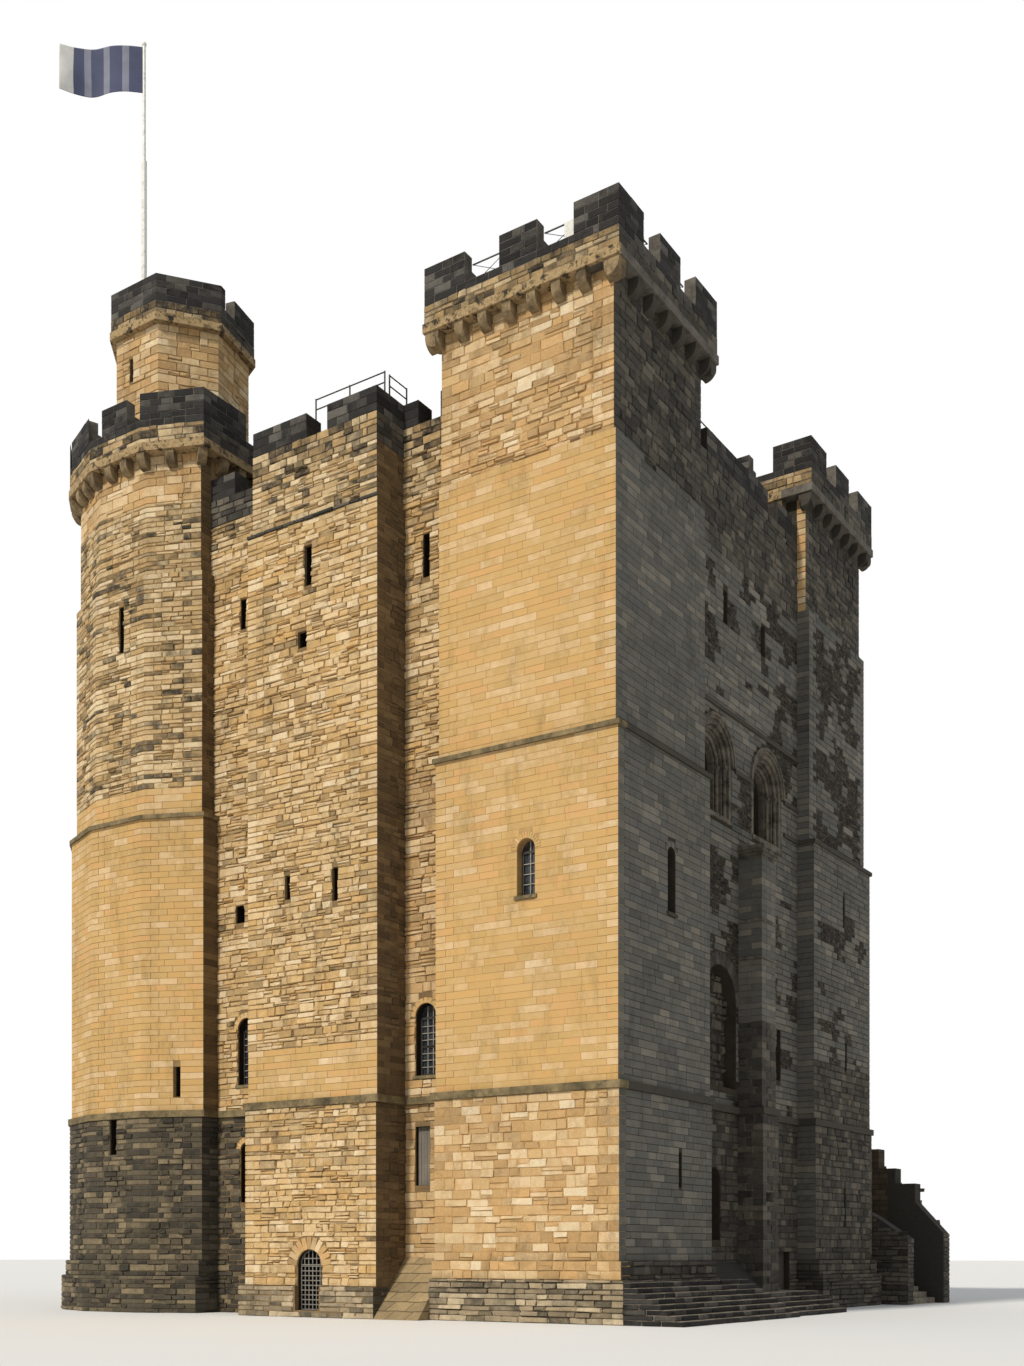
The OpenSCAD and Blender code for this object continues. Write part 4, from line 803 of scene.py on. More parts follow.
def lay_stair():
    """Rubble on the outer faces of the stair's side walls and on the landing's end wall."""
    x1, y0, y1 = high("stair_outer_wall", X), low("stair_outer_wall", Y), high("stair_outer_wall", Y)
    top = high("stair_outer_wall", Z)
    lay_wall("stair_outer_wall", "stair_east", (x1, y0), (x1, y1), (STAIR_CORNER, STAIR_CORNER), (0.0, top),
             "plinth",
             ceiling=lambda u: next((height for reach, height in STAIR_WALL_TOPS if u < reach), top))
    lay_wall("stair_outer_wall", "stair_north", (x1, y1), (WALL_E, y1), (STAIR_CORNER, 0.0), (0.0, top),
             "plinth")
    # The south, foot and west faces lie in the keep's shadow: their dark plinth rubble is painted shadow
    lay_wall("stair_outer_wall", "stair_south", (x1 - STAIR_WALL_D, y0), (x1, y0), (0.0, STAIR_CORNER),
             (0.0, STAIR_WALL_TOPS[0][1]), "dark_plinth")
    x = low("stair_inner_wall", X)
    y0, y1 = low("stair_inner_wall", Y), high("stair_inner_wall", Y)
    top = high("stair_inner_wall", Z)
    lay_wall("stair_inner_wall", "stair_foot", (x, y0), (x + STAIR_WALL_D, y0), (STAIR_CORNER, 0.0),
             (0.0, STAIR_FOOT_Z), "dark_plinth")
    slope = (top - STAIR_SLOPE_Z) / (y1 - y0 - STAIR_SLOPE_START)
    lay_wall("stair_inner_wall", "stair_west", (x, y1), (x, y0), (0.0, STAIR_CORNER), (0.0, top),
             "dark_plinth",
             ceiling=lambda u: max(STAIR_FOOT_Z, STAIR_SLOPE_Z + slope * (y1 - y0 - u - STAIR_SLOPE_START)))


# Stepped plinth: rise and going of its layers, the turn that its corner stones follow, and its two flights'
# ends in the east with how far each layer goes past the one above
STEP_RISE, STEP_GOING = 0.125, 0.195
STEP_CORNER = 1.57
TALL_END_X, TALL_END_GOING = -2.20, 0.035
LOW_END_X, LOW_END_GOING = 1.80, 0.045
LOW_START_X = -1.90
LOW_LAYERS, LOW_FRONT_LAYERS = 5, 7


def lay_layer(k, names, points, start_turn):
    """Stones round one layer of the stepped plinth."""
    turns = [start_turn] + [STEP_CORNER] * (len(names) - 1) + [0.0]
    for j, name in enumerate(names):
        lay_wall("south_steps", f"{name}_{k}", points[j], points[j + 1], (turns[j], turns[j + 1]),
                 (k * STEP_RISE, (k + 1) * STEP_RISE), "steps")


def lay_steps():
    """Rough faces on the layers of the stepped plinth: a tall western flight and a low eastern one."""
    # Black risers under pale treads: painted shade and painted light
    foot, west = SOUTH - PLINTH_OUT, WEST - PLINTH_OUT
    layers = round(high("south_steps", Z) / STEP_RISE)
    for k in range(layers):
        y = foot - (layers - k) * STEP_GOING
        x = TALL_END_X + (layers - 1 - k) * TALL_END_GOING
        corners = [(west, foot), (west, y), (x, y), (x, foot)]
        lay_layer(k, ("west_layer", "south_layer", "end_layer"), corners, 0.0)
    for k in range(LOW_LAYERS):
        y = foot - (LOW_FRONT_LAYERS - k) * STEP_GOING
        x = LOW_END_X + (LOW_LAYERS - 1 - k) * LOW_END_GOING
        lay_layer(k, ("low_layer", "low_end"), [(LOW_START_X, y), (x, y), (x, foot)], STEP_CORNER)


PILASTER_OUT = 0.72
PILASTER_FOOT_OUT = 0.06
PILASTER_TOP_Z = 12.77
PILASTER_DARK_Z = 8.2
PILASTER_HOLE = (-0.17, 3.15, 0.52, 0.27, False)
# Mouldings that no stones cover: under and over the string, and two thin bands
STRING_UNDER, STRING_OVER = 0.06, 0.19
PILASTER_BANDS = [(9.95, 10.04), (11.0, 11.09)]


def lay_pilaster():
    """Ashlar on the three free sides of the south pilaster."""
    x0, x1 = PILASTER[0] - PILASTER[2] / 2, PILASTER[0] + PILASTER[2] / 2
    front = WALL_S - PILASTER_OUT
    foot_stage = (PILASTER_FOOT_OUT, 0.0, STRING_Z - STRING_UNDER, {"pilaster_front": [PILASTER_HOLE]})
    upper_stage = (0.0, STRING_Z + STRING_OVER, PILASTER_TOP_Z, {})
    for out, z0, z1, holes in (foot_stage, upper_stage):
        corners = [(x0 - out, WALL_S), (x0 - out, front - out), (x1 + out, front - out), (x1 + out, WALL_S)]
        breaks = [(PILASTER_DARK_Z, PILASTER_DARK_Z), *PILASTER_BANDS]
        levels = [z0, *(z for pair in breaks if z0 < pair[0] < z1 for z in pair), z1]
        for k, name in enumerate(("pilaster_west", "pilaster_front", "pilaster_east")):
            turns = (math.pi / 2 if k > 0 else 0.0, math.pi / 2 if k < 2 else 0.0)
            for stretch in zip(levels[::2], levels[1::2]):
                style = "dark_squared" if stretch[1] <= PILASTER_DARK_Z else "shade"
                lay_wall("south_pilaster", name, corners[k], corners[k + 1], turns, stretch, style,
                         holes.get(name, ()))


RUIN_D = 0.38
RUIN_CLEAR = 0.02


def lay_ruin():
    """Rough stones in the shallow recess under the ruined arch."""
    mid, sill, width, height, _ = RUIN_ARCH
    r = width / 2
    y = WALL_S + RUIN_D
    spring = sill + height - r
    lay_wall("south_wall", "ruin", (mid - r, y), (mid + r, y), (0.0, 0.0), (sill, sill + height), "infill",
             ceiling=lambda u: spring + math.sqrt(max(0.0, r * r - (u - r) ** 2)) - RUIN_CLEAR)


# Arches: the plane that each side's stones lie in, the axis along it, and the finish
ARCH_FACES = {
    "ab": (WALL_W, Y, "ashlar"), "nb": (WALL_W, Y, "ashlar"), "butt_west": (BUTT_X - LOWER_OUT, Y, "honey"),
    "sw_west": (WEST, Y, "ashlar"), "sw_south": (SOUTH, X, "weathered"), "south": (WALL_S, X, "sooty"),
}
ARCH_BEVEL = 0.006
ARCH_JOINT_R, ARCH_RING_CLEAR = 0.003, 0.004
ARCH_WANDER = 0.003
SMOOTH_ARCH_OUT, ROUGH_ARCH_OUT, ROUGH_ARCH_VARY = 0.010, 0.022, 0.008


def lay_arch(side, opening, ring_w, count):
    """A ring of arch stones round a round head."""
    mid, sill, width, height, _ = opening
    spring = sill + height - width / 2
    plane, axis, finish = ARCH_FACES[side]
    target = facing(owner_of(side), finish)
    rng = random.Random(f"arch {side} {sill}")
    r = width / 2 + ring_w / 2
    half = (math.pi * r / count / 2 - ARCH_JOINT_R, ring_w / 2 - ARCH_RING_CLEAR)
    rough = side in ("butt_west", "south")
    for k in range(count):
        turn = math.pi * (k + 0.5) / count
        across, rise = math.cos(turn), math.sin(turn)
        if axis == Y:
            place = (plane, mid + across * r, spring + rise * r)
            up = (0, across, rise)
            along = (0, -rise, across)
        else:
            place = (mid + across * r, plane, spring + rise * r)
            up = (across, 0, rise)
            along = (rise, 0, -across)
        out = ROUGH_ARCH_OUT + ROUGH_ARCH_VARY * rng.random() if rough else SMOOTH_ARCH_OUT
        target.add(place, along, up, half, out, (ARCH_BEVEL, ARCH_BEVEL), ARCH_BEVEL, rng.random(),
                   soot_at(*place), ARCH_WANDER)


# Geometry Nodes: stones from points

class Tree:
    """A small helper that adds nodes and joins sockets."""

    def __init__(self, tree):
        self.tree = tree

    def add(self, kind, values=None, **settings):
        node = self.tree.nodes.new(kind)
        for name, value in settings.items():
            setattr(node, name, value)
        for socket, value in (values or {}).items():
            if isinstance(value, bpy.types.NodeSocket):
                self.tree.links.new(value, node.inputs[socket])
            else:
                node.inputs[socket].default_value = value
        return node

    def math(self, operation, a, b=0.0, c=None):
        values = {0: a, 1: b}
        if c is not None:
            values[2] = c
        return self.add("ShaderNodeMath", values, operation=operation).outputs[0]

    def vector(self, operation, a, b):
        return self.add("ShaderNodeVectorMath", {0: a, 1: b}, operation=operation).outputs[0]

    def scaled(self, vector, factor):
        return self.add("ShaderNodeVectorMath", {0: vector, "Scale": factor}, operation="SCALE").outputs[0]

    def attribute(self, name, kind="FLOAT_VECTOR"):
        return self.add("GeometryNodeInputNamedAttribute", {"Name": name}, data_type=kind).outputs[0]

    def parts(self, vector):
        return self.add("ShaderNodeSeparateXYZ", {0: vector}).outputs


def stone_tree():
    """Turns each point into a stone: a four by four grid whose outer ring lies in the wall."""
    group = bpy.data.node_groups.new("stone_facing", "GeometryNodeTree")
    for name, kind in (("Points", "Geometry"), ("Bed depth", "Float"), ("Least out", "Float"),
                       ("Seed", "Int"), ("Finish", "Material"), ("Soft edges", "Bool")):
        group.interface.new_socket(name, in_out="INPUT", socket_type=f"NodeSocket{kind}")
    group.interface.new_socket("Stones", in_out="OUTPUT", socket_type="NodeSocketGeometry")
    t = Tree(group)
    given = t.add("NodeGroupInput").outputs
    grid = t.add("GeometryNodeMeshGrid", {"Size X": 3.0, "Size Y": 3.0, "Vertices X": 4, "Vertices Y": 4})
    corner = t.add("GeometryNodeInputPosition").outputs[0]
    cell = t.add("GeometryNodeStoreNamedAttribute",
                 {"Geometry": grid.outputs["Mesh"], "Name": "cell", "Value": corner},
                 data_type="FLOAT_VECTOR", domain="POINT")
    copies = t.add("GeometryNodeInstanceOnPoints", {"Points": given["Points"], "Instance": cell.outputs[0]})
    real = t.add("GeometryNodeRealizeInstances", {"Geometry": copies.outputs[0]})

    s, v, _ = t.parts(t.attribute("cell"))
    half_u, half_v, out = t.parts(t.attribute("size"))
    end_a, end_b, bevel = t.parts(t.attribute("ends"))
    wander = t.attribute("wander", "FLOAT")
    side_s, side_v = t.math("SIGN", s), t.math("SIGN", v)
    inner_s = t.math("LESS_THAN", t.math("ABSOLUTE", s), 1.0)
    inner_v = t.math("LESS_THAN", t.math("ABSOLUTE", v), 1.0)
    front = t.math("MULTIPLY", inner_s, inner_v)
    at_b = t.math("GREATER_THAN", s, 0.0)
    inset = t.math("ADD", t.math("MULTIPLY", end_b, at_b),
                   t.math("MULTIPLY", end_a, t.math("SUBTRACT", 1.0, at_b)))
    u_len = t.math("SUBTRACT", half_u, t.math("MULTIPLY", inset, inner_s))
    v_len = t.math("SUBTRACT", half_v, t.math("MULTIPLY", bevel, inner_v))
    shake = t.add("FunctionNodeRandomValue", {0: (-1, -1, -1), 1: (1, 1, 1), "Seed": given["Seed"]},
                  data_type="FLOAT_VECTOR")
    shake_u, shake_v, shake_out = t.parts(shake.outputs[0])
    u = t.math("MULTIPLY_ADD", t.math("MULTIPLY", shake_u, wander), 0.8, t.math("MULTIPLY", side_s, u_len))
    w = t.math("MULTIPLY_ADD", t.math("MULTIPLY", shake_v, wander), 0.6, t.math("MULTIPLY", side_v, v_len))
    raised = t.math("MULTIPLY_ADD", t.math("MULTIPLY", shake_out, wander), 0.7, out)
    # No corner of a stone's face sinks behind the wall
    raised = t.math("MAXIMUM", raised, given["Least out"])
    bed = t.math("MULTIPLY", given["Bed depth"], -1.0)
    d = t.math("ADD", t.math("MULTIPLY", raised, front),
               t.math("MULTIPLY", bed, t.math("SUBTRACT", 1.0, front)))
    along, up = t.attribute("along"), t.attribute("up")
    normal = t.vector("CROSS_PRODUCT", along, up)
    position = t.vector("ADD", t.attribute("place"), t.scaled(along, u))
    position = t.vector("ADD", position, t.scaled(up, w))
    position = t.vector("ADD", position, t.scaled(normal, d))
    put = t.add("GeometryNodeSetPosition", {"Geometry": real.outputs[0], "Position": position})
    soft = t.add("GeometryNodeSetShadeSmooth",
                 {"Geometry": put.outputs[0], "Shade Smooth": given["Soft edges"]})
    done = t.add("GeometryNodeSetMaterial", {"Geometry": soft.outputs[0], "Material": given["Finish"]})
    t.add("NodeGroupOutput", {"Stones": done.outputs[0]})
    return group


def set_inputs(modifier, values):
    """Sets a modifier's inputs by the identifiers of their sockets."""
    for item in modifier.node_group.interface.items_tree:
        if item.item_type == "SOCKET" and item.in_out == "INPUT" and item.name in values:
            modifier[item.identifier] = values[item.name]


def placed(name, data):
    """A new object in the scene."""
    obj = bpy.data.objects.new(name, data)
    bpy.context.scene.collection.objects.link(obj)
    return obj


def plain_mesh(obj, name):
    """Replaces an object with its evaluated mesh, without modifiers."""
    graph = bpy.context.evaluated_depsgraph_get()
    result = placed(name, bpy.data.meshes.new_from_object(obj.evaluated_get(graph)))
    bpy.data.objects.remove(obj)
    return result


BED_D = 0.003
STONE_SEED = 11
# Columns of a facing's rows: place first, then these
VECTOR_COLUMNS = {"place": 0, "along": 3, "up": 6, "size": 9, "ends": 12}
FLOAT_COLUMNS = {"tone": 15, "soot": 16, "wander": 17}


def build_facing(tree, owner, finish, stones, material):
    table = np.array(stones.rows, np.float32)
    mesh = bpy.data.meshes.new("points")
    mesh.from_pydata(table[:, 0:3].tolist(), [], [])
    for name, column in VECTOR_COLUMNS.items():
        layer = mesh.attributes.new(name, "FLOAT_VECTOR", "POINT")
        layer.data.foreach_set("vector", table[:, column:column + 3].ravel())
    for name, column in FLOAT_COLUMNS.items():
        layer = mesh.attributes.new(name, "FLOAT", "POINT")
        layer.data.foreach_set("value", table[:, column].copy())
    obj = placed("points", mesh)
    modifier = obj.modifiers.new("stones", "NODES")
    modifier.node_group = tree
    set_inputs(modifier, {"Bed depth": BED_D, "Least out": LEAST_OUT, "Seed": STONE_SEED, "Finish": material,
                          "Soft edges": False})
    piece = plain_mesh(obj, f"{owner}_{finish}_stones")
    # The finishes read only tone and soot
    for name in (*VECTOR_COLUMNS, "wander", "cell"):
        if name in piece.data.attributes:
            piece.data.attributes.remove(piece.data.attributes[name])
    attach(piece, "keep")


# Materials

def shaded(levels):
    """A colour from sRGB levels of 0 to 255."""
    shares = [level / 255 for level in levels]
    return (*(c / 12.92 if c <= 0.04045 else ((c + 0.055) / 1.055) ** 2.4 for c in shares), 1.0)


def even(colours):
    """Stops of a ramp at even steps."""
    return [(k / (len(colours) - 1), colour) for k, colour in enumerate(colours)]


class Paint(Tree):
    """A material and its node tree. Its colours are sRGB levels of 0 to 255."""

    def __init__(self, name):
        self.material = bpy.data.materials.new(name)
        self.material.use_nodes = True
        super().__init__(self.material.node_tree)
        self.tree.nodes.clear()
        self.shader = self.add("ShaderNodeBsdfPrincipled")
        self.add("ShaderNodeOutputMaterial", {"Surface": self.shader.outputs[0]})

    def place(self):
        return self.add("ShaderNodeTexCoord").outputs["Object"]

    def stone_value(self, name):
        """A value that each stone carries."""
        return self.add("ShaderNodeAttribute", attribute_name=name).outputs["Fac"]

    def grain(self, scale, detail=4.0, rough=0.6, stretch=(1, 1, 1), distortion=0.0):
        """Noise on Object coordinates, from 0 to 1."""
        mapped = self.add("ShaderNodeMapping", {"Vector": self.place(), "Scale": stretch}).outputs[0]
        return self.add("ShaderNodeTexNoise", {"Vector": mapped, "Scale": scale, "Detail": detail,
                                               "Roughness": rough, "Distortion": distortion}).outputs[0]

    def span(self, value, lo, hi, to_lo=0.0, to_hi=1.0):
        return self.add("ShaderNodeMapRange", {0: value, 1: lo, 2: hi, 3: to_lo, 4: to_hi}).outputs[0]

    def both(self, a, b):
        return self.math("MULTIPLY", a, b)

    def either(self, a, b):
        return self.math("MAXIMUM", a, b)

    def below(self, value, limit):
        return self.math("LESS_THAN", value, limit)

    def above(self, value, limit):
        return self.math("GREATER_THAN", value, limit)

    def ramp(self, factor, stops, mode="LINEAR"):
        node = self.add("ShaderNodeValToRGB", {0: factor})
        node.color_ramp.interpolation = mode
        elements = node.color_ramp.elements
        while len(elements) < len(stops):
            elements.new(0.5)
        for element, (position, colour) in zip(elements, stops):
            element.position = position
            element.color = shaded(colour)
        return node.outputs[0]

    def mix(self, factor, a, b, kind="MIX"):
        """Mixes two colours, each a socket or levels."""
        a, b = (c if isinstance(c, bpy.types.NodeSocket) else shaded(c) for c in (a, b))
        node = self.add("ShaderNodeMix", {0: factor, 6: a, 7: b}, data_type="RGBA", blend_type=kind)
        return node.outputs[2]

    def dimmed(self, colour, value):
        """A colour multiplied by a value."""
        grey = self.add("ShaderNodeCombineColor", {0: value, 1: value, 2: value}).outputs[0]
        return self.mix(1.0, colour, grey, "MULTIPLY")

    def done(self, colour, roughness, gloss, heights, depth):
        """Joins a colour and a bump of (noise, strength) pairs to the shader, and gives the material."""
        total = None
        for height, strength in heights:
            part = self.math("MULTIPLY", height, strength)
            total = part if total is None else self.math("ADD", total, part)
        relief = self.add("ShaderNodeBump", {"Height": total, "Distance": depth, "Strength": 1.0})
        self.tree.links.new(colour, self.shader.inputs["Base Color"])
        self.tree.links.new(relief.outputs["Normal"], self.shader.inputs["Normal"])
        self.shader.inputs["Roughness"].default_value = roughness
        self.shader.inputs["Specular IOR Level"].default_value = gloss
        return self.material


PLAIN_GLOSS = 0.5


def stone_finish(name, tones, soot_colour, soot_gain, pit, speckle):
    """Stone whose tone and soot come from each stone's own attributes."""
    t = Paint(name)
    wander = t.math("SUBTRACT", t.grain(3.0, 3.0), 0.5)
    base = t.ramp(t.math("MULTIPLY_ADD", wander, 0.22, t.stone_value("tone")), even(tones))
    base = t.dimmed(base, t.span(t.grain(45.0, 5.0, 0.7), 0.3, 0.7, 1 - speckle, 1 + speckle * 0.5))
    stain = t.span(t.grain(1.6, 6.0, 0.7, (1, 1, 0.35)), 0.52, 0.72)
    dark = t.math("MULTIPLY_ADD", t.stone_value("soot"), soot_gain, t.both(stain, 0.45))
    speck = t.span(t.grain(14.0, 6.0, 0.75), 0.35, 0.65, 0.35, 1.25)
    dark = t.add("ShaderNodeClamp", {0: t.both(dark, speck)}).outputs[0]
    heights = [(t.grain(18.0, 6.0, 0.7), 1.0), (t.grain(90.0, 4.0, 0.7), 0.35)]
    return t.done(t.mix(dark, base, soot_colour), 0.92, 0.22, heights, pit)


# Clearances of the planes that part one side's paint from another's
PAINT_CLEAR, NEAR_CLEAR, PARAPET_CLEAR = 0.04, 0.02, 0.05


def in_southern_shade(t, x, y):
    """Mask of painted shade: 1 on the south front and 0 on the west front of the south-west turret."""
    return t.both(t.below(y, WALL_S + PAINT_CLEAR), t.above(x, WEST + TOP_IN + PAINT_CLEAR))


SHADED_REVEAL = (40, 35, 29)
WALL_TOP_DARK, WALL_TOP_LIGHT = (84, 80, 73), (126, 119, 108)
INNER_BLOCKS = [(150, 130, 100), (128, 110, 84)]
# Colour of core blocks painted in shade on the south front
SHADED_BLOCKS = (60, 58, 54)
# The faces of the rooms lie within these distances of the middle of the keep
ROOM_X, ROOM_Y = 3.70, 4.65


def blockwork(name, joint, tones=INNER_BLOCKS, course=0.20, length=0.52, inner_only=True, pale_band=None,
              reveal=()):
    """Stone core: joint colour outside, and courses of blocks on the faces inside the keep.

    pale_band is (lowest, highest, colour) of the joints between smooth blocks on the sunny faces.
    reveal lists the openings of the west front with painted shade inside, as (front x, y range, z range)."""
    t = Paint(name)
    place = t.place()
    x, y, z = t.parts(place)
    flat = t.add("ShaderNodeCombineXYZ", {0: t.math("ADD", x, y), 1: z, 2: 0.0}).outputs[0]
    wavy = t.add("ShaderNodeTexNoise", {"Vector": place, "Scale": 2.0, "Detail": 3.0})
    shifted = t.vector("ADD", flat, t.scaled(wavy.outputs[1], 0.05))
    bricks = t.add("ShaderNodeTexBrick", {"Vector": shifted, "Scale": 1.0, "Color1": shaded(tones[0]),
                                          "Color2": shaded(tones[1]), "Mortar": shaded(joint),
                                          "Mortar Size": 0.010, "Mortar Smooth": 0.2, "Bias": 0.0,
                                          "Brick Width": length, "Row Height": course}, offset=0.5)
    blocks = bricks.outputs["Color"]
    if pale_band:
        low_z, high_z, pale = pale_band
        in_band = t.both(t.above(z, low_z), t.below(z, high_z))
        sunny = t.either(t.below(x, WEST + TOP_IN + NEAR_CLEAR), t.above(y, SW_Y - NEAR_CLEAR))
        joint = t.mix(t.both(in_band, sunny), joint, pale)
    for front, y_range, z_range in reveal:
        beyond = t.above(x, front)
        for value, (lowest, highest) in ((y, y_range), (z, z_range)):
            off = t.math("ABSOLUTE", t.math("SUBTRACT", value, (lowest + highest) / 2))
            beyond = t.both(beyond, t.below(off, (highest - lowest) / 2))
        joint = t.mix(beyond, joint, SHADED_REVEAL)
    if inner_only:
        inside = t.both(t.below(t.math("ABSOLUTE", x), ROOM_X), t.below(t.math("ABSOLUTE", y), ROOM_Y))
        blocks = t.mix(inside, joint, blocks)
    colour = t.dimmed(blocks, t.span(t.grain(1.8, 6.0, 0.7), 0.35, 0.75, 1.08, 0.62))
    if inner_only:
        facing_up = t.parts(t.add("ShaderNodeNewGeometry").outputs["Normal"])[Z]
        flags = t.mix(t.grain(1.1, 5.0), WALL_TOP_DARK, WALL_TOP_LIGHT)
        colour = t.mix(t.above(facing_up, 0.7), colour, flags)
    else:
        # Painted shade on the south front
        colour = t.mix(in_southern_shade(t, x, y), colour, SHADED_BLOCKS)
    return t.done(colour, 0.95, 0.15, [(bricks.outputs["Fac"], -0.8), (t.grain(30.0, 6.0, 0.7), 0.8)], 0.012)


def moulding(name, tones, dark, speckle=0.25, shaded_south=False, depth=None):
    """Cut stone of mouldings, corbels and steps, without joints.

    shaded_south paints shade and soot on the south front; depth paints shade deepening from one y to another."""
    t = Paint(name)
    base = t.ramp(t.span(t.grain(1.3, 5.0, 0.65), 0.28, 0.72), even(tones))
    base = t.dimmed(base, t.span(t.grain(38.0, 5.0, 0.7), 0.3, 0.7, 1 - speckle, 1 + speckle * 0.5))
    stain = t.span(t.grain(3.4, 7.0, 0.75), 0.46, 0.68, 0.0, 0.85)
    x, y, _ = t.parts(t.place())
    if depth:
        # Painted shade deepening into the recess, joined with the stains
        stain = t.either(stain, t.span(y, *depth))
    base = t.mix(stain, base, dark)
    if shaded_south:
        # Painted shade, with soot, on the south front
        base = t.mix(t.both(in_southern_shade(t, x, y), 0.9), base, (62, 60, 56))
    return t.done(base, 0.9, 0.2, [(t.grain(12.0, 6.0, 0.75), 1.0), (t.grain(70.0, 4.0, 0.7), 0.3)], 0.02)


def parapet_core(name, lip_z):
    """Parapet core: golden foot course on the sunny side and painted shade on the others; black stone above.
    """
    t = Paint(name)
    x, y, z = t.parts(t.place())
    # The moulded course is golden only on the sunny side; elsewhere black stands for painted shade
    sunny = t.either(t.below(x, WEST + TOP_IN - CORBEL_OUT + PARAPET_CLEAR), t.above(y, SOUTH + 0.9))
    patch = t.grain(2.6, 6.0, 0.75)
    gold = t.ramp(patch, [(0.38, (50, 45, 38)), (0.46, (144, 122, 88)), (0.54, (178, 152, 112)),
                          (0.62, (64, 56, 45))])
    black = t.ramp(patch, [(0.30, (66, 62, 57)), (0.70, (126, 119, 108))])
    colour = t.mix(t.both(t.below(z, lip_z + LIP_H + 0.002), sunny), black, gold)
    return t.done(colour, 0.94, 0.2, [(t.grain(12.0, 6.0, 0.75), 1.0), (t.grain(60.0, 4.0, 0.7), 0.3)], 0.02)


def wood(name, light, dark, axis_stretch):
    t = Paint(name)
    fibre = t.grain(6.0, 6.0, 0.7, axis_stretch, 0.6)
    base = t.ramp(t.span(fibre, 0.3, 0.7), [(0.0, dark), (0.55, light), (1.0, dark)])
    base = t.dimmed(base, t.span(t.grain(0.9, 4.0), 0.35, 0.7, 1.1, 0.7))
    return t.done(base, 0.8, PLAIN_GLOSS, [(fibre, 1.0)], 0.006)


def metal(name, base_colour, rust, metallic, roughness):
    t = Paint(name)
    base = t.mix(t.span(t.grain(9.0, 6.0, 0.7), 0.48, 0.7), base_colour, rust)
    t.shader.inputs["Metallic"].default_value = metallic
    return t.done(base, roughness, PLAIN_GLOSS, [(t.grain(60.0, 5.0), 1.0)], 0.002)


def pane(name):
    """Old dark glass, a little uneven."""
    t = Paint(name)
    base = t.mix(t.span(t.grain(5.0, 3.0), 0.4, 0.6), (39, 43, 47), (60, 64, 68))
    return t.done(base, 0.12, PLAIN_GLOSS, [(t.grain(7.0, 2.0), 1.0)], 0.004)


def cloth(name):
    """Woven flag cloth in plain upright stripes, read from the cloth's own UV map."""
    t = Paint(name)
    uv = t.add("ShaderNodeUVMap", uv_map="cloth").outputs[0]
    slate, mist, pale = (62, 68, 98), (128, 130, 146), (206, 204, 200)
    stripes = t.ramp(t.parts(uv)[0], [(0.0, slate), (0.16, mist), (0.24, slate), (0.40, mist), (0.48, slate),
                                      (0.64, mist), (0.72, slate), (0.84, pale)], "CONSTANT")
    weave = t.add("ShaderNodeTexWave", {"Vector": uv, "Scale": 90.0, "Distortion": 0.4},
                  bands_direction="X").outputs[1]
    base = t.dimmed(stripes, t.span(weave, 0.0, 1.0, 0.86, 1.05))
    base = t.dimmed(base, t.span(t.grain(2.2, 4.0), 0.35, 0.7, 1.05, 0.8))
    t.shader.inputs["Sheen Weight"].default_value = 0.3
    return t.done(base, 0.85, PLAIN_GLOSS, [(weave, 1.0)], 0.001)


